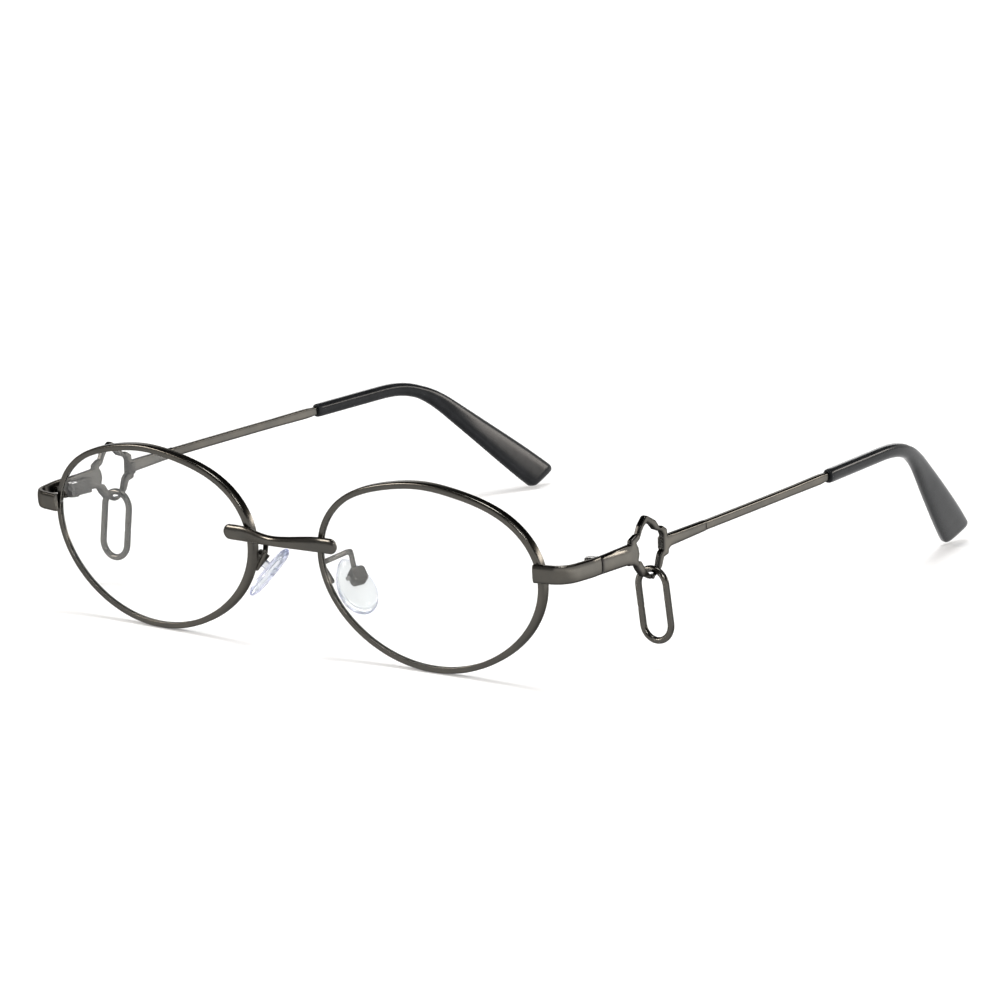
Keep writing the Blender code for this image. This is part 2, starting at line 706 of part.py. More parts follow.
def ring_hole():
    """The ring's opening, as offsets from the seam, with the notches beside the strip and the bar."""
    middle = RING_CENTRE
    return [
        (middle - 0.00125, RING_TOP - 0.00145, 0.00025),
        (middle + 0.00025, RING_TOP - 0.0023, 0.0008),
        (middle + 0.00125, RING_TOP - 0.0033, 0.0002),
        (middle + 0.0033, RING_TOP - 0.00405, 0.0003),
        (middle + 0.00375, RING_TOP - 0.00475, 0.00025),
        (middle + 0.00375, BAR_END_BOTTOM - 0.00095, 0.00025),
        (middle + 0.0032, BAR_END_BOTTOM - 0.0014, 0.00025),
        (middle + 0.0028, -RING_BOTTOM + 0.00395, 0.0003),
        (middle + 0.00225, -RING_BOTTOM + 0.00205, 0.0005),
        (middle + 0.0018, -RING_BOTTOM + 0.0007, 0.0003),
        (middle - 0.0002, -RING_BOTTOM + 0.0007, 0.0003),
        (middle - 0.0019, -RING_BOTTOM + 0.0023, 0.0004),
        (middle - 0.0031, -RING_BOTTOM + 0.0039, 0.0002),
        (middle - 0.0038, -RING_BOTTOM + 0.00395, 0.0001),
        (middle - 0.0040, -half_strip() + 0.00075, 0.0002),
        (middle - 0.0037, 0.0001, 0.0010),
        (middle - 0.0040, half_strip() - 0.0003, 0.0008),
        (middle - 0.0046, half_strip() + 0.0006, 0.00015),
        (middle - 0.00365, RING_TOP - 0.00425, 0.00025),
        (middle - 0.0030, RING_TOP - 0.00305, 0.0008),
        (middle - 0.00235, RING_TOP - 0.0021, 0.0008),
    ]


def half_strip():
    """Half the strip's height."""
    return STRIP_HEIGHT / 2


def casting_matrix(depth=0.0):
    """The casting's frame: local X runs back, local Y up and local Z outwards from a depth inside."""
    seam = seam_point()
    axes = Matrix(((0, 0, 1, 0), (1, 0, 0, 0), (0, 1, 0, 0), (0, 0, 0, 1)))
    return Matrix.Translation((seam.x - depth, seam.y, seam.z)) @ axes


def make_casting(material, parts, cutters):
    """The flat casting of strip, ring and bar, with the ring's boss and the bar's thicker root."""
    outlines = [rounded(casting_outline()), rounded(ring_hole())]
    middle = casting_matrix(CASTING_THICKNESS / 2)
    casting = plate(
        "left_temple_casting", outlines, CASTING_THICKNESS, middle, material, parts, EDGE_BEVEL
    )
    boss_place = (RING_CENTRE + BOSS_OFFSET, -RING_BOTTOM + BOSS_RADIUS, 0.0)
    boss = cylinder(
        "ring_boss",
        BOSS_RADIUS,
        2 * BOSS_HEIGHT,
        casting_matrix() @ Matrix.Translation(boss_place),
        None,
        cutters,
        12,
    )
    combine(casting, boss, "UNION")
    root_place = (RING_CENTRE + 0.00415 + BULGE_LENGTH / 2, (BAR_END_TOP + BAR_END_BOTTOM) / 2 - 0.001, 0.0)
    root = box(
        "bar_root",
        (BULGE_LENGTH, BULGE_HEIGHT, 2 * BULGE_DEPTH),
        casting_matrix(CASTING_THICKNESS) @ Matrix.Translation(root_place),
        None,
        cutters,
    )
    combine(casting, root, "UNION")
    return casting


def temple_path(distances):
    """The centre line behind the bar and its directions, at distances from the bar's end.

    The line's heading turns inwards and its pitch down by smooth laws, and the line is the running
    sum of the steps that those angles give.
    """
    fine = np.linspace(0.0, max(float(np.max(distances)), 0.0001), 1200)
    bend = smooth((fine - BEND_START) / BEND_LENGTH)
    inward = INWARD_AT_BAR + (INWARD_AT_BEND - INWARD_AT_BAR) * np.clip(fine / BEND_START, 0, 1)
    inward = inward + (INWARD_PADDLE - INWARD_AT_BEND) * bend
    pitch = ROD_PITCH + (BEND_PITCH - ROD_PITCH) * bend
    heading = np.stack(
        [-np.sin(inward) * np.cos(pitch), np.cos(inward) * np.cos(pitch), np.sin(pitch)], axis=1
    )
    step = fine[1] - fine[0]
    middle = (heading[1:] + heading[:-1]) / 2 * step
    seam = seam_point()
    start = np.array(
        [
            seam.x - CASTING_THICKNESS / 2,
            seam.y + BAR_END + GAP,
            seam.z + (BAR_END_TOP + BAR_END_BOTTOM) / 2,
        ]
    )
    line = start + np.concatenate([np.zeros((1, 3)), np.cumsum(middle, axis=0)])
    places = np.stack([np.interp(distances, fine, line[:, i]) for i in range(3)], axis=1)
    along = np.stack([np.interp(distances, fine, heading[:, i]) for i in range(3)], axis=1)
    return places, along / np.linalg.norm(along, axis=1)[:, None]


def section_axes(along, twist):
    """The outward and the upward axis of a section square to the line, turned about it by a twist."""
    outward = Vector((1, 0, 0)) - Vector(along) * along[0]
    outward.normalize()
    upward = outward.cross(Vector(along))
    if upward.z < 0:
        upward.negate()
    turn_out = outward * math.cos(twist) + upward * math.sin(twist)
    turn_up = upward * math.cos(twist) - outward * math.sin(twist)
    return turn_out, turn_up


def make_rod(material, parts):
    """The temple rod: flat, flared before the tip, then a round core inside the tip."""
    neck = ROD_LENGTH - 0.0006
    flare = ROD_LENGTH - 0.0045
    core_start = ROD_LENGTH + 0.0002
    core_end = ROD_LENGTH + CORE_LENGTH
    stations = [
        (0.0, ROD_THICKNESS, ROD_HEIGHT, 6.0),
        (0.4 * ROD_LENGTH, ROD_THICKNESS, ROD_HEIGHT, 6.0),
        (0.7 * ROD_LENGTH, ROD_THICKNESS, ROD_HEIGHT, 6.0),
        (flare, ROD_THICKNESS, ROD_FLARE_HEIGHT, 6.0),
        (flare + 0.0018, ROD_THICKNESS, ROD_FLARE_HEIGHT, 5.0),
        (neck, 0.9 * ROD_THICKNESS, ROD_NECK_HEIGHT, 4.0),
        (core_start, 2 * CORE_RADIUS, 2 * CORE_RADIUS, 2.0),
        ((core_start + core_end) / 2, 2 * CORE_RADIUS, 2 * CORE_RADIUS, 2.0),
        (core_end, 2 * CORE_RADIUS, 2 * CORE_RADIUS, 2.0),
    ]
    places, along = temple_path(np.array([station[0] for station in stations]))
    rings = []
    for place, direction, (_, thick, tall, power) in zip(places, along, stations):
        outward, upward = section_axes(direction, 0.0)
        rings.append(oval(place, outward, upward, thick / 2, tall / 2, power, 12))
    return loft("left_temple_rod", np.array(rings), material, parts)


def tip_rings():
    """The tip's sections: a slim sleeve, the bend, and a paddle that widens to its slanted end."""
    start = ROD_LENGTH + GAP
    end = ROD_LENGTH + TIP_LENGTH
    flare = start + TIP_FLARE_START
    rounding = TIP_ROUNDING
    front = np.array([0.0, 0.0003, 0.0010])
    ends = np.array([rounding, 0.6 * rounding, 0.25 * rounding, 0.05 * rounding, 0.0])
    middle = np.linspace(start + 0.006, end - 2.2 * rounding, 22)
    distances = np.concatenate([start + front, middle, end - ends])
    front_size = np.interp(distances - start, [0.0, 0.0003, 0.0010], [0.82, 0.95, 1.0])
    left = np.clip((end - distances) / rounding, 0.0, 1.0)
    end_size = np.sqrt(1 - (1 - left) ** 2)
    share = np.clip((distances - flare) / (end - flare), 0.0, 1.0)
    width = TIP_HEIGHT + (TIP_END_WIDTH - TIP_HEIGHT) * share
    places, along = temple_path(distances)
    rings = []
    for i, direction in enumerate(along):
        outward, upward = section_axes(direction, TIP_TWIST * float(smooth(share[i] * 2)))
        slant = Matrix.Rotation(-TIP_END_ANGLE * share[i] ** 3, 3, outward)
        upward = slant @ upward
        loss = (1 - end_size[i]) * min(TIP_THICKNESS, width[i])
        tall = width[i] * front_size[i] - loss * 1.4
        thick = TIP_THICKNESS * front_size[i] * (0.25 + 0.75 * end_size[i])
        power = 2.4 + 1.1 * share[i]
        rings.append(oval(places[i], outward, upward, thick / 2, tall / 2, power))
    return np.array(rings)


def make_tip(material, parts, cutters):
    """The temple tip, bored along its line for the rod's core."""
    tip = loft("left_temple_tip", tip_rings(), material, parts)
    bore_end = ROD_LENGTH + CORE_LENGTH + PIN_CLEARANCE
    distances = np.array([ROD_LENGTH - GAP, ROD_LENGTH + CORE_LENGTH / 2, bore_end])
    places, along = temple_path(distances)
    radius = CORE_RADIUS + PIN_CLEARANCE
    rings = []
    for place, direction in zip(places, along):
        outward, upward = section_axes(direction, 0.0)
        rings.append(oval(place, outward, upward, radius, radius, 2.0, 12))
    bore = loft("tip_bore", np.array(rings), None, cutters)
    combine(tip, bore, "DIFFERENCE")
    return tip


def link_pivot():
    """The middle of the link's upper arc, about which it swings on the ring's lower bar."""
    seam = seam_point()
    inner_arc = link_arc() - LINK_WIRE_RADIUS
    sag = max(CASTING_THICKNESS - LINK_OFFSET, LINK_OFFSET) ** 2 / (2 * inner_arc)
    height = link_seat_height() + GAP + sag - inner_arc
    return Vector((seam.x - LINK_OFFSET, seam.y + LINK_SEAT, height))


def link_seat_height():
    """The height of the ring's lower bar, on which the link hangs."""
    return seam_point().z - RING_BOTTOM + 0.0007


def link_arc():
    """The radius of the link's round ends, at the middle of its wire."""
    return LINK_WIDTH / 2 - LINK_WIRE_RADIUS


def make_link(name, side, angle, material, parts):
    """A closed link of round wire with half-round ends, hanging at an angle from upright."""
    arc = link_arc()
    drop = LINK_LENGTH - LINK_WIDTH
    turn = np.linspace(0.0, np.pi, LINK_ARC_STEPS)
    upper = np.stack([np.cos(turn) * arc, 0 * turn, np.sin(turn) * arc], axis=1)
    lower = -upper + np.array([0.0, 0.0, -drop])
    outline = np.concatenate([upper, lower])
    pivot = link_pivot()
    pivot.x *= side
    matrix = Matrix.Translation(pivot) @ Matrix.Rotation(-side * angle, 4, "Y")
    curve = bpy.data.curves.new(name, "CURVE")
    curve.dimensions = "3D"
    curve.bevel_depth = LINK_WIRE_RADIUS
    curve.bevel_resolution = 2
    add_spline(curve, [tuple(point) for point in outline.tolist()], True)
    return curve_to_mesh(name, curve, matrix, material, parts)


def pad_across():
    """The nose pad's width direction, which is also its screw's axis."""
    return PAD_OUTWARD.cross(PAD_LONG_AXIS).normalized()


def pad_matrix(outward=0.0, along=0.0):
    """The nose pad's frame: local X across, local Y up its length and local Z outwards."""
    across = pad_across()
    upward = PAD_OUTWARD.cross(across).normalized()
    centre = PAD_CENTRE + PAD_OUTWARD * outward + upward * along
    columns = Matrix((across, upward, PAD_OUTWARD)).transposed().to_4x4()
    return Matrix.Translation(centre) @ columns


def pad_screw_matrix():
    """The frame of the pad's screw hole, its local Z along the pad's rocking axis."""
    return pad_matrix(BOX_STAND_OFF - PAD_SCREW_DEPTH, BOX_OFFSET) @ Matrix.Rotation(-math.pi / 2, 4, "Y")


def make_pad_box(material, parts, cutters):
    """The small open box on the pad arm that holds the pad's lug."""
    frame = pad_matrix(BOX_STAND_OFF, BOX_OFFSET)
    item = box("left_pad_box", (BOX_SIZE, BOX_SIZE, BOX_DEPTH), frame, material, parts)
    edges = item.modifiers.new("edges", "BEVEL")
    edges.width = BOX_WALL * 0.8
    edges.segments = 2
    edges.limit_method = "ANGLE"
    hollow = BOX_SIZE - 2 * BOX_WALL
    opening = box(
        "pad_box_opening",
        (hollow, hollow, BOX_DEPTH),
        frame @ Matrix.Translation((0, 0, -BOX_WALL)),
        None,
        cutters,
    )
    combine(item, opening, "DIFFERENCE")
    drill = cylinder(
        "pad_box_hole",
        PAD_SCREW_RADIUS + PIN_CLEARANCE,
        2 * BOX_SIZE,
        pad_screw_matrix(),
        None,
        cutters,
        12,
    )
    combine(item, drill, "DIFFERENCE")
    return item


def make_nose_pad(material, parts, cutters):
    """The drop-shaped pad with the lug that stands in the box."""
    shape = bmesh.new()
    bmesh.ops.create_uvsphere(shape, u_segments=20, v_segments=12, radius=1.0)
    for vertex in shape.verts:
        x, z, y = vertex.co
        narrow = 1.0 - 0.22 * y - 0.12 * y * y
        flat = math.copysign(abs(z) ** 0.7, z)
        vertex.co = (
            x * narrow * PAD_WIDTH / 2,
            y * PAD_LENGTH / 2,
            flat * PAD_THICKNESS / 2,
        )
    bmesh.ops.recalc_face_normals(shape, faces=shape.faces)
    mesh = bpy.data.meshes.new("left_nose_pad")
    shape.to_mesh(mesh)
    shape.free()
    pad = add_object("left_nose_pad", mesh, material, parts)
    pad.matrix_world = pad_matrix()
    reach = BOX_STAND_OFF + BOX_DEPTH / 2 - BOX_WALL - GAP
    lug_frame = pad_matrix(reach / 2, BOX_OFFSET)
    lug = box("pad_lug", (LUG_WIDTH, LUG_LENGTH, reach), lug_frame, None, cutters)
    combine(pad, lug, "UNION")
    hole = PAD_SCREW_RADIUS + PIN_CLEARANCE / 2
    drill = cylinder("pad_lug_hole", hole, 2 * LUG_WIDTH, pad_screw_matrix(), None, cutters, 12)
    combine(pad, drill, "DIFFERENCE")
    return pad


def make_pad_screw(material, parts):
    """The screw through the box and the lug, with its head on the front side."""
    reach = BOX_SIZE / 2
    head = PAD_SCREW_HEAD_RADIUS
    profile = [
        (0.0, reach + GAP + PAD_SCREW_HEAD_HEIGHT),
        (head, reach + GAP + PAD_SCREW_HEAD_HEIGHT),
        (head, reach + GAP),
        (PAD_SCREW_RADIUS, reach + GAP),
        (PAD_SCREW_RADIUS, -reach),
        (0.0, -reach),
    ]
    return turned("left_pad_screw", profile, pad_screw_matrix(), material, parts, 12)


def make_pad_arm(material, parts):
    """The bent wire from the back of the rim, round its edge and over to the top of the pad box."""
    end = pad_matrix(BOX_STAND_OFF, BOX_OFFSET + BOX_SIZE / 2 + GAP + ARM_RADIUS / 2).translation
    outline = on_front(front_outline(), RIM_DEPTH)
    nasal = outline[outline[:, 0] < lens_centre().x]
    order = nasal[:, 2].argsort()

    def behind_rim(height, outside):
        x, y = (float(np.interp(height, nasal[order, 2], nasal[order, i])) for i in (0, 1))
        return Vector((x - outside, y + GAP + ARM_RADIUS, height))

    foot = behind_rim(end.z - ARM_FOOT_DROP, -RIM_WIDTH / 2)
    shoulder = behind_rim(end.z + ARM_SHOULDER_RISE, ARM_RADIUS + GAP)
    bend = end + Vector(ARM_BEND)
    guides = [foot, shoulder, bend, end]
    points = [tuple(foot)]
    for i in (1, 2):
        point = guides[i]
        start = point.lerp(guides[i - 1], ARM_BEND_CUT / (guides[i - 1] - point).length)
        finish = point.lerp(guides[i + 1], ARM_BEND_CUT / (guides[i + 1] - point).length)
        for t in (0.0, 0.25, 0.5, 0.75, 1.0):
            points.append(tuple(start.lerp(point, t).lerp(point.lerp(finish, t), t)))
    points.append(tuple(end))
    return wire("left_pad_arm", points, ARM_RADIUS, material, parts)


def mirrored(source, name, collection):
    """A right-hand copy of a left-hand piece, as its own mesh with its faces turned back out."""
    bpy.context.view_layer.update()
    graph = bpy.context.evaluated_depsgraph_get()
    mesh = bpy.data.meshes.new_from_object(source.evaluated_get(graph))
    flip = Matrix.Scale(-1.0, 4, (1, 0, 0))
    mesh.transform(flip @ source.matrix_world)
    mesh.flip_normals()
    item = bpy.data.objects.new(name, mesh)
    collection.objects.link(item)
    return item


def make_axis(name, place, collection, parent=None):
    """An empty on a joint's axis, which carries the pieces that move about it."""
    axis = bpy.data.objects.new(name, None)
    axis.empty_display_size = 0.004
    axis.location = place
    collection.objects.link(axis)
    attach([axis], parent)
    return axis


def attach(items, parent):
    """Parents objects without moving them."""
    if parent is None:
        return
    bpy.context.view_layer.update()
    for item in items:
        item.parent = parent
        item.matrix_parent_inverse = parent.matrix_world.inverted()


def build_left(metal, steel, lens, silicone, acetate, parts, cutters):
    """All left-hand pieces, keyed by what they are fixed to."""
    front = [
        make_rim(metal, parts, cutters),
        make_lens(lens, parts),
        make_end_piece(metal, parts),
        make_rim_lock("left_rim_lock_upper", 1, metal, parts, cutters),
        make_rim_lock("left_rim_lock_lower", -1, metal, parts, cutters),
        make_lock_screw(steel, parts),
        make_leaf("left_hinge_front_leaf", True, (-1, 1), metal, parts, cutters),
        make_hinge_screw(steel, parts),
        make_pad_arm(metal, parts),
        make_pad_box(metal, parts, cutters),
        make_pad_screw(steel, parts),
    ]
    temple = [
        make_leaf("left_hinge_temple_leaf", False, (0,), metal, parts, cutters),
        make_casting(metal, parts, cutters),
        make_rod(metal, parts),
        make_tip(acetate, parts, cutters),
    ]
    pad = [make_nose_pad(silicone, parts, cutters)]
    return front, temple, pad


def centre_on_origin(parts):
    """Moves everything so that the middle of its length is at Y = 0 and its lowest point at Z = 0."""
    bpy.context.view_layer.update()
    graph = bpy.context.evaluated_depsgraph_get()
    lows, highs = [], []
    for item in parts.objects:
        if item.type != "MESH":
            continue
        mesh = item.evaluated_get(graph).to_mesh()
        places = np.empty(len(mesh.vertices) * 3)
        mesh.vertices.foreach_get("co", places)
        world = np.array(item.matrix_world)
        places = places.reshape(-1, 3) @ world[:3, :3].T + world[:3, 3]
        lows.append(places.min(axis=0))
        highs.append(places.max(axis=0))
    low, high = np.min(lows, axis=0), np.max(highs, axis=0)
    shift = Vector((0.0, -float(low[1] + high[1]) / 2, -float(low[2])))
    for item in bpy.data.objects:
        if item.parent is None:
            item.location = item.location + shift


def main():
    clear_scene()
    parts = make_collection("spectacles")
    cutters = make_collection("cutters", hidden=True)
    metal = gunmetal()
    front, temple, pad = build_left(
        metal, bright_steel(), clear_lens(), clear_silicone(), charcoal_acetate(), parts, cutters
    )
    make_bridge(metal, parts)
    for side, link_angle in ((1, LEFT_LINK_ANGLE), (-1, RIGHT_LINK_ANGLE)):
        word = "left" if side > 0 else "right"
        temple_items, pad_items = temple, pad
        if side < 0:
            for item in front:
                mirrored(item, item.name.replace("left", word), parts)
            temple_items = [mirrored(item, item.name.replace("left", word), parts) for item in temple]
            pad_items = [mirrored(item, item.name.replace("left", word), parts) for item in pad]
        flip = Matrix.Scale(side, 4, (1, 0, 0))
        hinge = make_axis(f"{word}_temple_axis", flip @ hinge_axis(), parts)
        attach(temple_items, hinge)
        link = make_link(f"{word}_charm_link", side, link_angle, metal, parts)
        attach([link], hinge)
        pad_axis_place = pad_screw_matrix().translation
        pad_axis = make_axis(f"{word}_pad_axis", flip @ pad_axis_place, parts)
        attach(pad_items, pad_axis)
    for item in cutters.objects:
        item.hide_render = True
        item.display_type = "WIRE"
    centre_on_origin(parts)


main()
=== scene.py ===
"""Metal spectacles with clear lenses, folding temples and a wire link hanging on each temple.

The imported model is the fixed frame. Every piece that shows is made again here as a fine surface in the same
place, from the same sizes, and dressed in its finish: gunmetal plating, bright steel, clear lens, clear
silicone or charcoal acetate. Sizes are in metres. X runs across the front, Y back along the temples and Z
up. The left half is worked out, and the right half is its mirror image.
"""

import logging
import math
from collections.abc import Callable, Sequence
from dataclasses import dataclass, field
from enum import Enum

import bpy
import numpy as np
from mathutils import Matrix, Vector
from mathutils.geometry import delaunay_2d_cdt

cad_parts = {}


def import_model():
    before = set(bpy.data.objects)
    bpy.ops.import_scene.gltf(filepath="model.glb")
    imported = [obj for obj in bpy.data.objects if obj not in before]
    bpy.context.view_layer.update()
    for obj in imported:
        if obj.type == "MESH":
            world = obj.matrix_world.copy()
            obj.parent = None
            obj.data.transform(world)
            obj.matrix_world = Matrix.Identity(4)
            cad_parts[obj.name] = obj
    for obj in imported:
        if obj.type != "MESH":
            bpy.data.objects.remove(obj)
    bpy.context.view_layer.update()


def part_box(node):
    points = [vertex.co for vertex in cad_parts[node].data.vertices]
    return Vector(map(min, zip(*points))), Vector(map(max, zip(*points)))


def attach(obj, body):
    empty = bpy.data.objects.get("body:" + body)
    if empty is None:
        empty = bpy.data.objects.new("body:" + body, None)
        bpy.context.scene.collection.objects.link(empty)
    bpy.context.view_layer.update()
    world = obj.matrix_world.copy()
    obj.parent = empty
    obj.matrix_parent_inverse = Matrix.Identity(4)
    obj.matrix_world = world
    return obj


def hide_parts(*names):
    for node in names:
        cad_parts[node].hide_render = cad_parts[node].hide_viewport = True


LOG = logging.getLogger("spectacles")
MM = 0.001
LONGEST_CUT = 0.48  # the most of a side that a rounded corner may take up
STRAIGHTEST = 0.9999  # the cosine past which a corner counts as straight
SAME_POINT = 1e-7
LEVEL_SIDE = 1e-12
NEAR_AXIS = 1e-6
WIRE_SIDES = 32
# the share of painted shade on a wire's two sides
WIRE_EDGE = 0.9
EDGE_REACH = 2.2  # how far the edge share reaches, in roundings
SHARP_ANGLE = math.radians(40)
SOLID_POINTS = 64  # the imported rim's points, which set the places beside the rim
Array = np.ndarray
Triple = tuple[float, float, float]


class Side(Enum):
    """The two halves of the frame, as the wearer's left and right."""

    LEFT = 1
    RIGHT = -1

    @property
    def word(self) -> str:
        """The side's word in the names of pieces."""
        return self.name.lower()


# Surfaces --------------------


def smooth(value: Array) -> Array:
    """Smoothstep: 3t² − 2t³ with t held between 0 and 1."""
    t = np.clip(value, 0.0, 1.0)
    return t * t * (3.0 - 2.0 * t)


def unit(vectors: Array) -> Array:
    """The vectors divided by their lengths, where one of no length stays as it is."""
    length = np.linalg.norm(vectors, axis=-1, keepdims=True)
    return vectors / np.where(length > 0, length, 1.0)


def angles(count: int) -> Array:
    """So many angles, evenly round a full turn from zero."""
    return np.arange(count) * 2 * np.pi / count


def rounded(corners: Sequence[Triple], steps: int = 6) -> Array:
    """A closed outline with round corners.

    Each corner is replaced by the arc that touches both of its sides at the same cut, where the cut is the
    radius over the tangent of half the corner's angle, and at most 0.48 of either side.

    Args:
        corners: (x, y, radius) of each corner in order.
        steps: how many chords each arc has.

    Returns:
        The outline as an array of (x, y).
    """
    table = np.array(corners, float)
    places, radius = table[:, :2], table[:, 2]
    before, after = np.roll(places, 1, axis=0) - places, np.roll(places, -1, axis=0) - places
    reach = np.minimum(np.linalg.norm(before, axis=1), np.linalg.norm(after, axis=1))
    before, after = unit(before), unit(after)
    half = np.arccos(np.clip((before * after).sum(axis=1), -STRAIGHTEST, STRAIGHTEST)) / 2
    cut = np.minimum(radius / np.tan(half), LONGEST_CUT * reach)
    radius = cut * np.tan(half)
    centre = places + unit(before + after) * (radius / np.sin(half))[:, None]
    start = places + before * cut[:, None] - centre
    end = places + after * cut[:, None] - centre
    turn = np.arctan2(start[:, 0] * end[:, 1] - start[:, 1] * end[:, 0], (start * end).sum(axis=1))
    angle = turn[:, None] * np.linspace(0.0, 1.0, steps + 1)
    spoke_x = start[:, :1] * np.cos(angle) - start[:, 1:] * np.sin(angle)
    spoke_y = start[:, :1] * np.sin(angle) + start[:, 1:] * np.cos(angle)
    outline = centre[:, None] + np.stack([spoke_x, spoke_y], axis=-1)
    return outline.reshape(-1, 2)


def rectangle(width: float, height: float, radius: float, steps: int) -> Array:
    """A rectangle about the origin with round corners."""
    signs = ((1, 1), (-1, 1), (-1, -1), (1, -1))
    return rounded([(x * width / 2, y * height / 2, radius) for x, y in signs], steps)


def ellipse(
    half_width: Array | float, half_height: Array | float, points: int, power: Array | float = 2.0
) -> Array:
    """A superellipse: |cos|^(2/power) and |sin|^(2/power), with their signs, times the half sizes.

    Where the half sizes and the power are arrays, there is one outline for each of their values.

    Args:
        half_width: half the size along x.
        half_height: half the size along y.
        points: how many points an outline has.
        power: 2 for a true ellipse, more for a boxier one.

    Returns:
        The outline, or the outlines, as an array of (x, y).
    """
    circle = np.stack([np.cos(angles(points)), np.sin(angles(points))], axis=1)
    exponent = 2 / np.asarray(power, float)[..., None, None]
    halves = np.stack(np.broadcast_arrays(half_width, half_height), axis=-1)[..., None, :]
    return np.sign(circle) * np.abs(circle) ** exponent * halves


def layered(flat: Array, levels: Array) -> Array:
    """Outlines of shape (levels, points, 2), each lifted to its own level."""
    tall = np.broadcast_to(levels[:, None, None], (*flat.shape[:2], 1))
    return np.concatenate([flat, tall], axis=-1)


def crowned(section: Array, thick: float, tall: float, crown: float) -> Array:
    """A flat section whose outer side falls away by the crown times the height share cubed.

    The fall grows evenly from nothing at the inner side, at −thick/2.
    """
    share = np.clip((section[:, 0] + thick / 2) / thick, 0.0, 1.0)
    fall = crown * np.abs(2 * section[:, 1] / tall) ** 3 * share
    return section - np.stack([fall, 0 * fall], axis=1)


def corner_share(section: Array, thick: float, tall: float, rounding: float) -> Array:
    """The edge share round a flat section: 1 at its corners, falling to 0 at the edge reach."""
    away = np.hypot(np.abs(section[:, 0]) - thick / 2, np.abs(section[:, 1]) - tall / 2)
    return np.clip(1 - away / (EDGE_REACH * rounding), 0, 1)


def roundover(distance: Array, radius: float) -> Array:
    """How far a quarter-round edge has drawn in, at a distance from its outer limit.

    It is the radius less the root of radius² − (radius − distance)², and nothing beyond the radius.
    """
    left = np.clip(radius - distance, 0.0, radius)
    return radius - np.sqrt(np.clip(radius**2 - left**2, 0.0, None))


def dense(outline: Array, spacing: float) -> Array:
    """The closed outline with points put in evenly, so that no chord is longer than the spacing.

    Args:
        outline: the (x, y) of its points.
        spacing: the longest chord.

    Returns:
        The outline, without points that lie on the one before.
    """
    after = np.roll(outline, -1, axis=0)
    parts = np.maximum(np.ceil(np.linalg.norm(after - outline, axis=1) / spacing).astype(int), 1)
    owner = np.repeat(np.arange(len(outline)), parts)
    share = (np.arange(len(owner)) - np.repeat(np.cumsum(parts) - parts, parts)) / parts[owner]
    points = outline[owner] + (after - outline)[owner] * share[:, None]
    keep = np.linalg.norm(points - np.roll(points, 1, axis=0), axis=1) > SAME_POINT
    return points[keep]


def edge_distance(points: Array, outlines: Sequence[Array]) -> Array:
    """The distance from each (x, y) point to the nearest side of any of the closed outlines.

    Args:
        points: the (x, y) places.
        outlines: the closed outlines.

    Returns:
        A distance for each place.
    """
    best = np.full(len(points), np.inf)
    for outline in outlines:
        step = np.roll(outline, -1, axis=0) - outline
        offset = points[:, None] - outline[None]
        share = np.clip((offset * step).sum(-1) / (step * step).sum(-1), 0.0, 1.0)
        gap = np.linalg.norm(offset - share[..., None] * step, axis=-1)
        best = np.minimum(best, gap.min(axis=1))
    return best


def within(points: Array, outlines: Sequence[Array]) -> Array:
    """Whether each (x, y) point lies in the material: inside an odd number of the closed outlines.

    Args:
        points: the (x, y) places.
        outlines: the closed outlines.

    Returns:
        A truth value for each place.
    """
    count = np.zeros(len(points), int)
    for outline in outlines:
        after = np.roll(outline, -1, axis=0)
        rise = after[:, 1] - outline[:, 1]
        spans = (outline[:, 1] > points[:, None, 1]) != (after[:, 1] > points[:, None, 1])
        safe = np.where(np.abs(rise) < LEVEL_SIDE, 1.0, rise)
        cross = outline[:, 0] + (points[:, None, 1] - outline[:, 1]) / safe * (after - outline)[:, 0]
        count += (spans & (points[:, None, 0] < cross)).sum(axis=1)
    return count % 2 == 1


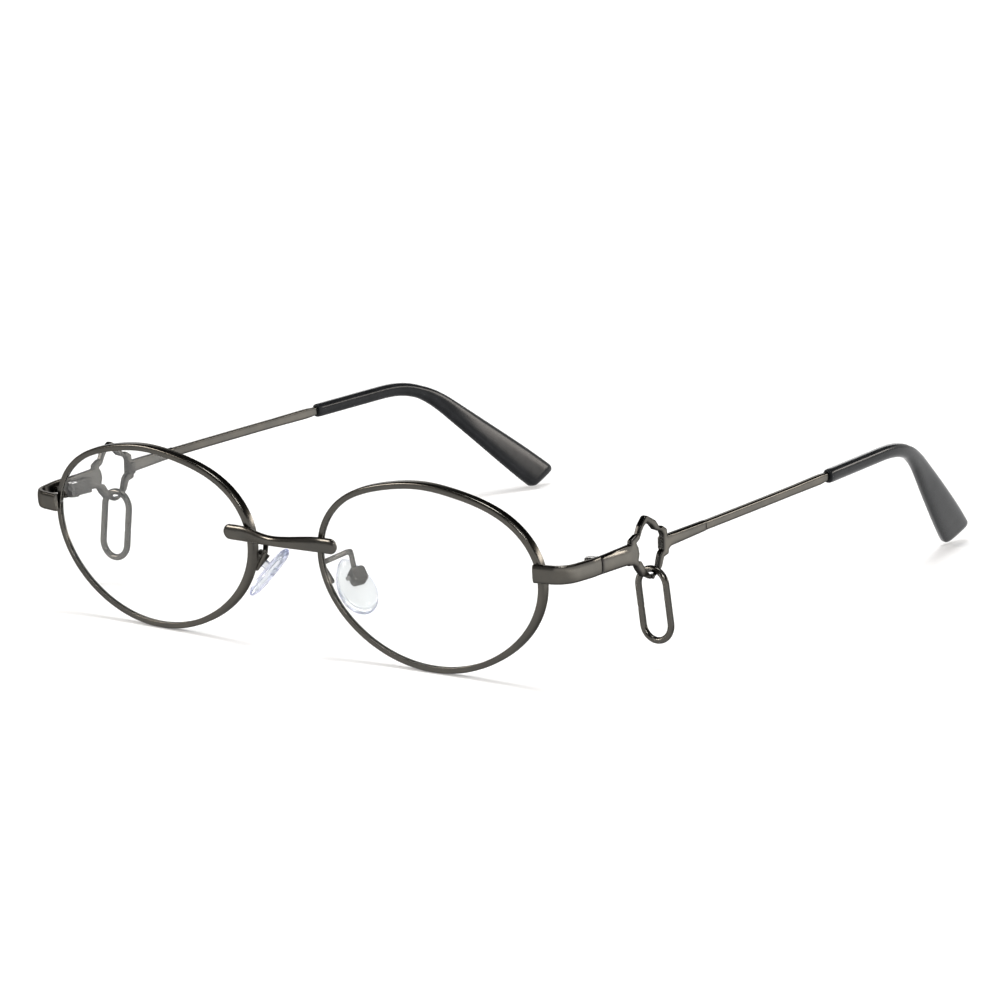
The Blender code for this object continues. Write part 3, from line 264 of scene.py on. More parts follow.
@dataclass
class Shell:
    """Closed surfaces as arrays: points, four- and three-sided faces, and how near an edge each point is."""

    points: Array
    quads: Array
    triangles: Array
    edge: Array

    @classmethod
    def sweep(cls, rings: Array, closed: bool = False, edge: Array | None = None) -> "Shell":
        """Joins closed sections, and closes the two ends with a fan to the section's middle.

        Args:
            rings: the sections, of shape (stations, points, 3).
            closed: whether the last section joins the first, so that there are no ends.
            edge: the edge share of each section point, or of each point of each station.

        Returns:
            The closed surface, its faces outwards.
        """
        stations, count = rings.shape[:2]
        index = np.arange(stations * count).reshape(stations, count)
        row, after = (index, np.roll(index, -1, axis=0)) if closed else (index[:-1], index[1:])
        quads = np.stack([row, np.roll(row, -1, axis=1), np.roll(after, -1, axis=1), after], axis=-1)
        points = rings.reshape(-1, 3)
        share = np.zeros((stations, count)) if edge is None else np.broadcast_to(edge, (stations, count))
        share = share.reshape(-1)
        triangles = np.zeros((0, 3), int)
        if not closed:
            points = np.concatenate([points, rings[[0, -1]].mean(axis=1)])
            share = np.concatenate([share, [0.0, 0.0]])
            first, last = index[0], index[-1]
            start = np.stack([np.roll(first, -1), first, np.full(count, stations * count)], axis=1)
            end = np.stack([last, np.roll(last, -1), np.full(count, stations * count + 1)], axis=1)
            triangles = np.concatenate([start, end])
        return cls(points, quads.reshape(-1, 4), triangles, share).outwards()

    @classmethod
    def prism(cls, outline: Array, height: float, rounding: float, steps: int = 4) -> "Shell":
        """A convex outline carried up from −height/2 to height/2, its two ends rounded over.

        A section near an end is the outline moved in along its normals by the quarter-round's draw.

        Args:
            outline: the (x, y) of its points.
            height: from end to end.
            rounding: the radius of the edges.
            steps: how many chords an edge's arc has.

        Returns:
            The prism about the origin.
        """
        turn = np.linspace(0.0, np.pi / 2, steps + 1)
        levels = height / 2 - rounding + rounding * np.sin(turn)
        levels = np.concatenate([-levels[::-1], levels])
        inset = roundover(height / 2 - np.abs(levels), rounding)
        along = unit(np.roll(outline, -1, axis=0) - np.roll(outline, 1, axis=0))
        area = (outline[:, 0] * np.roll(outline[:, 1], -1) - outline[:, 1] * np.roll(outline[:, 0], -1)).sum()
        inward = np.stack([-along[:, 1], along[:, 0]], axis=1) * np.sign(area)
        flat = outline[None] + inward[None] * inset[:, None, None]
        # painted shade: the edge share near the rounded ends darkens the metal there
        near_end = 1.0 - np.clip((height / 2 - np.abs(levels)) / (3 * rounding), 0.0, 1.0)
        return cls.sweep(layered(flat, levels), edge=near_end[:, None])

    @classmethod
    def block(cls, size: Triple, rounding: float) -> "Shell":
        """A box about the origin with all its edges rounded over.

        Its upright edges have a hair more rounding, so that the last sections keep round corners.
        """
        return cls.prism(rectangle(size[0], size[1], rounding * 1.01, 4), size[2], rounding)

    @classmethod
    def turned(cls, profile: Sequence[Triple], sides: int = 40) -> "Shell":
        """A profile of (radius, height, corner rounding) spun about Z, its first and last corner on the axis.

        The profile is closed beyond the axis and its corners are rounded in its own plane. What lies on the
        axis or beyond it is left off before it is spun.

        Args:
            profile: the corners of the profile in order.
            sides: how many points a turn has.

        Returns:
            The turned piece, its axis on Z.
        """
        beyond = -1 * MM
        outline = rounded([*profile, (beyond, profile[-1][1], 0.0), (beyond, profile[0][1], 0.0)], 4)
        keep = outline[outline[:, 0] > NEAR_AXIS]
        start = np.argmax(np.linalg.norm(keep - np.roll(keep, 1, axis=0), axis=1))
        keep = np.roll(keep, -start, axis=0)
        angle = angles(sides)
        radius, height = keep[:, :1], np.broadcast_to(keep[:, 1:], (len(keep), sides))
        rings = np.stack([radius * np.cos(angle), radius * np.sin(angle), height], axis=-1)
        return cls.sweep(rings)

    @classmethod
    def wire(cls, path: Array, radius: Array | float, away: Array, closed: bool = False) -> "Shell":
        """A round wire along a path.

        At each station the section is the circle spanned by the path's direction crossed with a fixed
        vector, and by that crossed with the direction. A round end is five more sections, each so many
        radii further out and as large as a ball's section is there.

        Args:
            path: the centre line, of shape (stations, 3).
            radius: the wire's radius, one for all or one for each station.
            away: a vector that the path never runs along; the sides square to it count as edges, which the
                metal darkens as painted shade.
            closed: whether the wire closes on itself.

        Returns:
            The wire, with round ends where it is open.
        """
        if not closed:
            further = np.array([0.0, 0.25, 0.5, 0.8, 0.97])
            smaller = np.array([1.0, 0.97, 0.87, 0.6, 0.25])
            radius = np.broadcast_to(radius, len(path)).astype(float)
            first, last = unit(path[0] - path[1]), unit(path[-1] - path[-2])
            head = path[0] + first * (further[::-1] * radius[0])[:, None]
            tail = path[-1] + last * (further * radius[-1])[:, None]
            path = np.concatenate([head, path, tail])
            radius = np.concatenate([smaller[::-1] * radius[0], radius, smaller * radius[-1]])
        around = np.roll(path, -1, axis=0) - np.roll(path, 1, axis=0)
        if not closed:
            around[0], around[-1] = path[1] - path[0], path[-1] - path[-2]
        along = unit(around)
        sideways = unit(np.cross(along, away))
        upward = np.cross(sideways, along)
        angle = angles(WIRE_SIDES)
        size = np.broadcast_to(radius, len(path))[:, None, None]
        ring = np.cos(angle)[:, None] * sideways[:, None] + np.sin(angle)[:, None] * upward[:, None]
        # painted shade: the edge share peaks on the two sides square to the away vector
        return cls.sweep(path[:, None] + ring * size, closed, WIRE_EDGE * np.cos(angle) ** 4)

    @classmethod
    def plaque(
        cls, outlines: Sequence[Array], thickness: float, rounding: float, crown: Callable[[Array], Array]
    ) -> "Shell":
        """A flat casting from closed outlines, with its edges rounded over and its front gently crowned.

        The face is a triangle net over the outline, over lines offset from it that stay their own distance
        from every side, and over a plain grid inside. A point of the net lies below the flat face by the
        quarter-round's draw at its distance from the nearest side, and on the front by the crown as well.

        Args:
            outlines: the edge first and then its holes, as (x, y).
            thickness: from back to front, about Z = 0.
            rounding: the radius of the edges.
            crown: how much lower the front lies at given (x, y) points.

        Returns:
            The casting, with front and back nets joined by a wall along each outline.
        """
        wall_spacing, grid_spacing, offset_shares = 0.35 * MM, 0.4 * MM, (0.08, 0.3, 0.6, 1.0, 1.2)
        loops = [dense(outline, wall_spacing) for outline in outlines]
        bounds = np.concatenate(loops)
        parts = [bounds]
        for share in offset_shares:
            for loop in loops:
                along = unit(np.roll(loop, -1, axis=0) - np.roll(loop, 1, axis=0))
                normal = np.stack([-along[:, 1], along[:, 0]], axis=1) * share * rounding
                for offset in (loop + normal, loop - normal):
                    clear = edge_distance(offset, loops) > 0.985 * share * rounding
                    parts.append(offset[clear & within(offset, loops)])
        low, high = bounds.min(axis=0), bounds.max(axis=0)
        grid = np.stack(np.meshgrid(*(np.arange(low[i], high[i], grid_spacing) for i in (0, 1))), axis=-1)
        grid = grid.reshape(-1, 2)
        parts.append(grid[(edge_distance(grid, loops) > 1.5 * rounding) & within(grid, loops)])
        net = np.concatenate(parts)
        ends = np.cumsum([len(loop) for loop in loops])
        sides = []
        for end, loop in zip(ends, loops):
            index = np.arange(end - len(loop), end)
            sides.append(np.stack([index, np.roll(index, -1)], axis=1))
        sides = np.concatenate(sides)
        made = delaunay_2d_cdt([Vector(p) for p in (net / MM).tolist()], sides.tolist(), [], 1, 1e-5)
        flat = np.array([tuple(p) for p in made[0]]) * MM
        triangles = np.array([face for face in made[2] if len(face) == 3])
        triangles = triangles[within(flat[triangles].mean(axis=1), loops)]
        origin = {source: target for target, sources in enumerate(made[3]) for source in sources}
        wall = np.array([[origin[a], origin[b]] for a, b in sides.tolist()])
        distance = edge_distance(flat, loops)
        distance[wall.ravel()] = 0.0
        draw = roundover(distance, rounding)
        front = np.column_stack([flat, thickness / 2 - draw - crown(flat)])
        back = np.column_stack([flat, -thickness / 2 + draw])
        count = len(flat)
        quads = np.stack([wall[:, 0], wall[:, 1], wall[:, 1] + count, wall[:, 0] + count], axis=1)
        centre = flat[triangles]
        turn = np.cross(centre[:, 1] - centre[:, 0], centre[:, 2] - centre[:, 0])
        triangles = np.where((turn > 0)[:, None], triangles, triangles[:, ::-1])
        side_turn = cls._wall_turn(triangles, wall)
        quads = np.where(side_turn[:, None], quads[:, ::-1], quads)
        # painted shade: the edge share near the outlines darkens the casting there
        edge = np.clip(1.0 - distance / (EDGE_REACH * rounding), 0.0, 1.0)
        faces = np.concatenate([triangles, triangles[:, ::-1] + count])
        return cls(np.concatenate([front, back]), quads, faces, np.tile(edge, 2)).outwards()

    @staticmethod
    def _wall_turn(triangles: Array, wall: Array) -> Array:
        """Whether each wall side runs the same way as the face triangle on it, so that its quad turns.

        Args:
            triangles: the front's faces.
            wall: the wall's sides as pairs of points.

        Returns:
            A truth value for each side.
        """
        most = int(triangles.max()) + 1
        ways = np.concatenate([triangles[:, [0, 1]], triangles[:, [1, 2]], triangles[:, [2, 0]]])
        keys = ways[:, 0] * most + ways[:, 1]
        return np.isin(wall[:, 0] * most + wall[:, 1], keys)

    def outwards(self) -> "Shell":
        """The same surface with its faces outwards, by the sign of the volume that they enclose.

        Returns:
            This surface, or the same turned round.
        """
        fans = [self.triangles, self.quads[:, :3], self.quads[:, [0, 2, 3]]]
        corner = self.points[np.concatenate(fans)] - self.points.mean(axis=0)
        volume = np.einsum("ij,ij->i", corner[:, 0], np.cross(corner[:, 1], corner[:, 2])).sum()
        return self if volume > 0 else self.turned_round()

    def turned_round(self) -> "Shell":
        """The same surface with every face the other way round."""
        return Shell(self.points, self.quads[:, ::-1], self.triangles[:, ::-1], self.edge)

    def placed(self, matrix: Matrix | Array) -> "Shell":
        """The surface carried by a 4 × 4 matrix, its faces kept outwards."""
        table = np.array(matrix)
        carried = Shell(self.points @ table[:3, :3].T + table[:3, 3], self.quads, self.triangles, self.edge)
        return carried if np.linalg.det(table[:3, :3]) > 0 else carried.turned_round()

    def moved(self, offset: Sequence[float]) -> "Shell":
        """The surface carried by an offset."""
        return self.placed(Matrix.Translation(offset))

    def __add__(self, other: "Shell") -> "Shell":
        """Both surfaces in one.

        Args:
            other: the second surface.

        Returns:
            The two, not joined.
        """
        count = len(self.points)
        return Shell(
            np.concatenate([self.points, other.points]),
            np.concatenate([self.quads, other.quads + count]),
            np.concatenate([self.triangles, other.triangles + count]),
            np.concatenate([self.edge, other.edge]),
        )


# Materials --------------------


class Signal:
    """A node's output that can be used in arithmetic: each operation adds one Math node."""

    def __init__(self, tree: "Recipe", socket: bpy.types.NodeSocket) -> None:
        """Keeps the recipe that the socket belongs to, and the socket."""
        self.tree = tree
        self.socket = socket

    def _with(self, operation: str, first: "Signal | float", second: "Signal | float") -> "Signal":
        """A Math node of that operation on the two values."""
        return self.tree.add("ShaderNodeMath", {"operation": operation}, {0: first, 1: second})

    def __add__(self, other: "Signal | float") -> "Signal":
        """This plus the other."""
        return self._with("ADD", self, other)

    __radd__ = __add__

    def __mul__(self, other: "Signal | float") -> "Signal":
        """This times the other."""
        return self._with("MULTIPLY", self, other)

    __rmul__ = __mul__

    def __sub__(self, other: "Signal | float") -> "Signal":
        """This less the other."""
        return self._with("SUBTRACT", self, other)

    def __rsub__(self, other: float) -> "Signal":
        """The other less this."""
        return self._with("SUBTRACT", other, self)

    def most(self, other: "Signal | float") -> "Signal":
        """The larger of this and the other."""
        return self._with("MAXIMUM", self, other)

    def span(self, low: float, high: float) -> "Signal":
        """This stretched so that low becomes 0 and high 1, held between them."""
        sockets = {0: self, 1: low, 2: high}
        return self.tree.add("ShaderNodeMapRange", {"clamp": True}, sockets)


class Recipe:
    """The nodes of one material or of the world, added one by one."""

    def __init__(self, owner: bpy.types.Material | bpy.types.World) -> None:
        """Empties the owner's node tree."""
        owner.use_nodes = True
        self.tree = owner.node_tree
        self.tree.nodes.clear()

    def add(
        self,
        kind: str,
        settings: dict[str, object] | None = None,
        sockets: dict[str | int, object] | None = None,
        output: str | int = 0,
    ) -> Signal:
        """Adds a node.

        Args:
            kind: the node's type.
            settings: its own properties, set first.
            sockets: values or signals for its inputs, by name or number.
            output: which output to return.

        Returns:
            The output as a signal.
        """
        node = self.tree.nodes.new(kind)
        for name, value in (settings or {}).items():
            setattr(node, name, value)
        for name, value in (sockets or {}).items():
            if isinstance(value, Signal):
                self.tree.links.new(value.socket, node.inputs[name])
            else:
                node.inputs[name].default_value = value
        return Signal(self, node.outputs[output] if node.outputs else None)

    def place(self, scale: Triple = (1, 1, 1)) -> Signal:
        """Object coordinates in metres, stretched by a scale."""
        where = self.add("ShaderNodeTexCoord", output="Object")
        return self.add("ShaderNodeMapping", sockets={"Vector": where, "Scale": scale})

    def noise(self, where: Signal, size: float, detail: float = 2.0, roughness: float = 0.5) -> Signal:
        """Noise from 0 to 1 with features of a size in metres."""
        values = {"Vector": where, "Scale": 1 / size, "Detail": detail, "Roughness": roughness}
        return self.add("ShaderNodeTexNoise", sockets=values)

    def blend(self, share: Signal, first: Signal | Triple, second: Signal | Triple) -> Signal:
        """The first colour going over to the second as the share goes from 0 to 1."""
        first, second = (value if isinstance(value, Signal) else (*value, 1) for value in (first, second))
        return self.add("ShaderNodeMix", {"data_type": "RGBA"}, {0: share, 6: first, 7: second}, output=2)

    def either(self, share: Signal, first: Signal, second: Signal) -> Signal:
        """The first shader going over to the second as the share goes from 0 to 1."""
        return self.add("ShaderNodeMixShader", sockets={0: share, 1: first, 2: second})

    def ray(self, kind: str) -> Signal:
        """1 for rays of a kind, such as Camera, Glossy, Transmission or Shadow, and 0 for others."""
        return self.add("ShaderNodeLightPath", output=f"Is {kind} Ray")

    def bump(self, height: Signal, depth: float) -> Signal:
        """A normal tilted by a height, where a height of 1 stands a depth in metres proud."""
        return self.add("ShaderNodeBump", sockets={"Distance": depth, "Height": height})

    def turned_away(self, low: float, high: float) -> Signal:
        """0 where the surface faces the viewer, rising to 1 where it turns away."""
        away = self.add("ShaderNodeLayerWeight", sockets={"Blend": 0.5}, output="Facing")
        return away.span(low, high)

    def edge(self) -> Signal:
        """The edge share of each point, which masks the metal's painted edge shade and the glass's edge tint.
        """
        return self.add("ShaderNodeAttribute", {"attribute_name": "edge"}, output="Fac")

    def finish(self, surface: Signal) -> None:
        """Sends a shader to the output."""
        self.add("ShaderNodeOutputMaterial", sockets={"Surface": surface})


@dataclass(frozen=True)
class Finish:
    """A finish, known by its slot name, from which its material has its name."""

    slot: str

    def material(self) -> bpy.types.Material:
        """The finish as a Blender material, made the first time it is asked for.

        Returns:
            The one material of this finish.
        """
        made = bpy.data.materials.get(self.slot + "_finish")
        if made is None:
            made = bpy.data.materials.new(self.slot + "_finish")
            recipe = Recipe(made)
            recipe.finish(self.shader(recipe))
        return made

    def shader(self, recipe: Recipe) -> Signal:
        """The finish's shader."""
        raise NotImplementedError


@dataclass(frozen=True)
class MetalFinish(Finish):
    """Satin metal: cloudy colour, fine grain and hairlines, with painted shade darkening its edges and where
    it turns away, in place of dark reflections.
    """

    colour: Triple = (0.2, 0.2, 0.2)
    cloud: Triple = (0.2, 0.2, 0.2)
    # painted shade: the edge colour, laid on by the edge and outline shares, stands in for dark reflections
    edge_colour: Triple = (0.1, 0.1, 0.1)
    edge_share: float = 0.5
    outline_share: float = 0.0
    glancing: float = 1.0
    roughness: float = 0.3
    cloud_size: float = 5 * MM
    grain_size: float = 0.12 * MM
    grain_depth: float = 0.0005 * MM
    hairline_size: float = 0.09 * MM
    wear_size: float = 0.6 * MM

    def shader(self, recipe: Recipe) -> Signal:
        """Base colour from clouds with painted shade along edges and at grazing view, roughness and bump from
        grain and hairlines.

        Args:
            recipe: the material's nodes.

        Returns:
            The shader.
        """
        where = recipe.place()
        clouds = recipe.noise(where, self.cloud_size, 3.0).span(0.35, 0.7)
        grain = recipe.noise(where, self.grain_size, 2.0, 0.6)
        lines = recipe.noise(recipe.place((1.0, 0.06, 1.0)), self.hairline_size)
        base = recipe.blend(clouds, self.colour, self.cloud)
        # painted shade: the colour darkens along edges, broken up by noise, in place of dark reflections
        painted_edge_shade = recipe.edge() * (0.75 + 0.5 * recipe.noise(where, self.wear_size)) * self.edge_share
        # painted shade: the colour darkens where the surface turns away from the viewer
        outline = recipe.turned_away(0.8, 1.0) * self.outline_share
        base = recipe.blend(painted_edge_shade.most(outline).span(0.0, 1.0), base, self.edge_colour)
        rough = self.roughness - 0.03 + 0.06 * grain + 0.04 * lines
        height = grain * 0.7 + lines * 0.3
        values = {
            "Base Color": base,
            "Metallic": 1.0,
            "Roughness": rough,
            "Specular Tint": (self.glancing, self.glancing, self.glancing, 1),
            "Normal": recipe.bump(height, self.grain_depth),
        }
        return recipe.add("ShaderNodeBsdfPrincipled", sockets=values)


@dataclass(frozen=True)
class AcetateFinish(Finish):
    """Polished dark plastic: near black, with a faint mottle and soft polishing lines."""

    colour: Triple = (0.009, 0.010, 0.011)
    mottle: Triple = (0.018, 0.019, 0.021)
    mottle_size: float = 2.5 * MM
    line_size: float = 0.15 * MM
    line_depth: float = 0.0006 * MM
    roughness: float = 0.16
    specular: float = 0.1
    coat: float = 0.05
    coat_roughness: float = 0.08

    def shader(self, recipe: Recipe) -> Signal:
        """Mottled base colour under a clear polish.

        Args:
            recipe: the material's nodes.

        Returns:
            The shader.
        """
        mottle = recipe.noise(recipe.place(), self.mottle_size, 4.0).span(0.3, 0.75)
        fine = recipe.noise(recipe.place((1.0, 0.1, 1.0)), self.line_size)
        values = {
            "Base Color": recipe.blend(mottle, self.colour, self.mottle),
            "Roughness": self.roughness + 0.06 * fine,
            "Specular IOR Level": self.specular,
            "Coat Weight": self.coat,
            "Coat Roughness": self.coat_roughness,
            "Normal": recipe.bump(fine, self.line_depth),
        }
        return recipe.add("ShaderNodeBsdfPrincipled", sockets=values)


@dataclass(frozen=True)
class ClearFinish(Finish):
    """A clear body that lets the lamps through: lens or silicone.

    The veil is how much of a matt, slightly milky colour lies in it, in the middle and where it turns away.
    """

    colour: Triple = (1.0, 1.0, 1.0)
    edge_colour: Triple = (1.0, 1.0, 1.0)
    roughness: float = 0.0
    cloud_roughness: float = 0.02
    cloud_size: float = 6 * MM
    refraction: float = 1.5
    specular: float = 0.5
    veil: tuple[float, float] = (0.0, 0.0)
    milk: Triple = (0.45, 0.50, 0.52)
    milk_edge: Triple = (0.48, 0.50, 0.97)

    def shader(self, recipe: Recipe) -> Signal:
        """Glass whose shadow rays pass straight through, tinted a little along its edge.

        Args:
            recipe: the material's nodes.

        Returns:
            The shader.
        """
        cloud = recipe.noise(recipe.place(), self.cloud_size, 3.0)
        values = {
            "Base Color": recipe.blend(recipe.edge(), self.colour, self.edge_colour),
            "Roughness": self.roughness + self.cloud_roughness * cloud.span(0.4, 0.8),
            "IOR": self.refraction,
            "Specular IOR Level": self.specular,
            "Transmission Weight": 1.0,
        }
        glass = recipe.add("ShaderNodeBsdfPrincipled", sockets=values)
        if max(self.veil) > 0:
            middle, rim = self.veil
            away = recipe.turned_away(0.35, 0.8)
            colour = recipe.blend(away, self.milk, self.milk_edge)
            milk = recipe.add("ShaderNodeBsdfDiffuse", sockets={"Color": colour})
            glass = recipe.either(middle + (rim - middle) * away, glass, milk)
        clear = recipe.add("ShaderNodeBsdfTransparent", sockets={"Color": (*self.colour, 1)})
        return recipe.either(recipe.ray("Shadow"), glass, clear)


# The edge colours with the edge and outline shade shares paint shade into the metals: dark reflections along
# edges and at grazing view.
GUNMETAL = MetalFinish(
    "gunmetal",
    colour=(0.125, 0.119, 0.107),
    cloud=(0.155, 0.143, 0.124),
    edge_colour=(0.035, 0.034, 0.032),
    edge_share=0.95,
    outline_share=0.85,
    glancing=0.4,
    roughness=0.2,
)
BRIGHT_STEEL = MetalFinish(
    "bright_steel",
    colour=(0.42, 0.41, 0.40),
    cloud=(0.48, 0.47, 0.46),
    edge_colour=(0.20, 0.195, 0.19),
    roughness=0.22,
)
CLEAR_LENS = ClearFinish("clear_lens", colour=(0.985, 0.992, 0.99), cloud_roughness=0.01, specular=0.3)
CLEAR_SILICONE = ClearFinish(
    "clear_silicone",
    colour=(0.96, 0.97, 0.975),
    edge_colour=(0.90, 0.91, 0.98),
    roughness=0.06,
    cloud_roughness=0.05,
    cloud_size=1.5 * MM,
    refraction=1.41,
    veil=(0.22, 0.2),
)
CHARCOAL = AcetateFinish("charcoal_acetate")


# Where everything is --------------------


@dataclass(frozen=True)
class Layout:
    """The sizes that the sub-assemblies share, and the places that follow from them.

    Places are worked out from a datum just in front of the rims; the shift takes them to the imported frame.
    """

    lens_width: float = 50.3 * MM
    lens_height: float = 35.0 * MM
    lens_gap: float = 18.0 * MM
    curve_radius: float = 168 * MM
    squareness: float = 0.47 * MM
    taper: float = 0.47 * MM
    fullness: float = 0.17 * MM
    rim_width: float = 1.25 * MM
    rim_depth: float = 1.8 * MM
    groove_depth: float = 0.6 * MM
    gap: float = 0.3 * MM
    face_form: float = math.radians(2.09)
    tilt: float = math.radians(5.19)
    end_rise: float = 3.6 * MM
    end_height: float = 3.5 * MM
    end_thickness: float = 1.1 * MM
    end_reach: float = 7.0 * MM
    end_slant: float = math.radians(10)
    end_corner: float = 6.5 * MM
    end_shoulder: float = 9.5 * MM
    end_tilt: float = math.radians(3.2)
    seam_depth: float = 11.7 * MM
    strip_rise: float = 0.55 * MM
    casting_thickness: float = 1.3 * MM
    ring_bottom: float = 5.3 * MM
    ring_bar: float = 0.7 * MM
    bar_end: float = 33.0 * MM
    bar_top: float = 2.6 * MM
    bar_bottom: float = 0.6 * MM
    hinge_inset: float = 3.2 * MM
    hinge_behind: float = 0.8 * MM

    def polar(self, angle: Array) -> tuple[Array, Array]:
        """The rim's outer line and its inward normals at angles about the lens centre.

        The radius is the mean half size less the squareness, plus half the difference of the half sizes
        times cos 2a, plus squareness times cos 4a, plus taper times sin 3a, plus fullness times sin 5a.

        Args:
            angle: from the nose-to-temple line, upwards.

        Returns:
            The (x, z) of the line, and the normals.
        """
        spare = self.rim_width - self.groove_depth + self.gap
        wide, tall = self.lens_width / 2 + spare, self.lens_height / 2 + spare
        radius = (wide + tall) / 2 - self.squareness + (wide - tall) / 2 * np.cos(2 * angle)
        radius = radius + self.squareness * np.cos(4 * angle) + self.taper * np.sin(3 * angle)
        radius = radius + self.fullness * np.sin(5 * angle)
        slope = -(wide - tall) * np.sin(2 * angle) - 4 * self.squareness * np.sin(4 * angle)
        slope = slope + 3 * self.taper * np.cos(3 * angle) + 5 * self.fullness * np.cos(5 * angle)
        cosine, sine = np.cos(angle), np.sin(angle)
        line = np.stack([radius * cosine, radius * sine], axis=-1)
        along = unit(np.stack([slope * cosine - radius * sine, slope * sine + radius * cosine], axis=-1))
        return line, np.stack([-along[..., 1], along[..., 0]], axis=-1)

    def dish(self, flat: Array) -> Array:
        """How far the lens curve lies behind its middle: distance squared over twice the curve radius."""
        return (flat**2).sum(axis=-1) / (2 * self.curve_radius)

    @property
    def lens_centre(self) -> Array:
        """The lens centre, high enough that the rim's lowest point is at Z = 0.

        Returns:
            The centre as X, Y and Z from the datum.
        """
        line, _ = self.polar(angles(SOLID_POINTS))
        lowest = line[line[:, 1].argmin()]
        height = -lowest[1] * math.cos(self.tilt) - self.dish(lowest) * math.sin(self.tilt)
        return np.array([self.lens_gap / 2 + self.lens_width / 2, 0.0, height])

    def stand(self, flat: Array, depth: Array | float) -> Array:
        """Points of the front from (x, z) about the lens centre and a depth behind the rim's front."""
        local = np.stack([flat[..., 0], self.dish(flat) + depth, flat[..., 1]], axis=-1)
        turn = Matrix.Rotation(self.tilt, 3, "X") @ Matrix.Rotation(self.face_form, 3, "Z")
        return local @ np.array(turn).T + self.lens_centre

    def rim_line(self, inset: float = 0.0, depth: float = 0.0, points: int = 720) -> Array:
        """The rim's outer line in space, moved inwards by an inset."""
        line, inward = self.polar(angles(points))
        return self.stand(line + inward * inset, depth)

    def rim_at(self, height: float, depth: float = 0.0, nasal: bool = False) -> Array:
        """The rim's outer line at a height, on its temple or its nasal side.

        Args:
            height: along Z.
            depth: behind the rim's front.
            nasal: whether on the nasal side.

        Returns:
            The place as X, Y and Z.
        """
        line = self.rim_line(depth=depth)
        chosen = line[(line[:, 0] < self.lens_centre[0]) == nasal]
        order = chosen[:, 2].argsort()
        return np.array([np.interp(height, chosen[order, 2], chosen[order, i]) for i in range(3)])

    @property
    def face_x(self) -> float:
        """The outer face of the temples along X."""
        return float(self.rim_line(points=SOLID_POINTS)[:, 0].max()) + self.end_reach

    @property
    def end_z(self) -> float:
        """The height of the end piece's middle at its rim end."""
        return float(self.lens_centre[2]) + self.end_rise

    @property
    def seam(self) -> Array:
        """The middle of the seam between end piece and temple, on their outer face."""
        return np.array([self.face_x, self.seam_depth, self.end_z + self.strip_rise])

    @property
    def hinge(self) -> Array:
        """The hinge axis at the height of its middle knuckle."""
        seam = self.seam
        return seam + np.array([-self.hinge_inset, self.hinge_behind, -self.strip_rise / 2])


@dataclass
class SubAssembly:
    """A group of pieces on one side of the frame: the layout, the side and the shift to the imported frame."""

    layout: Layout
    side: Side
    shift: Array

    def add(self, name: str, shell: Shell, finish: Finish, body: str, *nodes: str) -> bpy.types.Object:
        """Makes a piece.

        Args:
            name: the piece's name without its side.
            shell: the left-hand surface, from the datum.
            finish: what it is dressed in.
            body: the body that it rides on, without its side unless it is the front.
            nodes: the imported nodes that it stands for, without their side.

        Returns:
            The piece, riding on its body.
        """
        table = np.diag([float(self.side.value), 1.0, 1.0, 1.0])
        table[:3, 3] = self.shift
        shell = shell.placed(table)
        mesh = bpy.data.meshes.new(f"{self.side.word}_{name}")
        mesh.from_pydata(shell.points.tolist(), [], shell.quads.tolist() + shell.triangles.tolist())
        mesh.shade_smooth()
        mesh.set_sharp_from_angle(angle=SHARP_ANGLE)
        # the edge share masks the metal's painted edge shade and the glass's edge tint
        mesh.attributes.new("edge", "FLOAT", "POINT").data.foreach_set("value", shell.edge.astype(np.float32))
        mesh.materials.append(finish.material())
        piece = bpy.data.objects.new(f"{self.side.word}_{name}", mesh)
        bpy.context.scene.collection.objects.link(piece)
        weigh = piece.modifiers.new("flat faces lead", "WEIGHTED_NORMAL")
        weigh.keep_sharp = True
        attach(piece, "front" if body == "front" else f"{self.side.word}_{body}")
        if nodes:
            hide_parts(*(f"{self.side.word}_{node}" for node in nodes))
        LOG.info("%s: %d points on %s", piece.name, len(shell.points), body)
        return piece

    def build(self) -> None:
        """Makes all pieces of the sub-assembly."""
        raise NotImplementedError


# The front --------------------


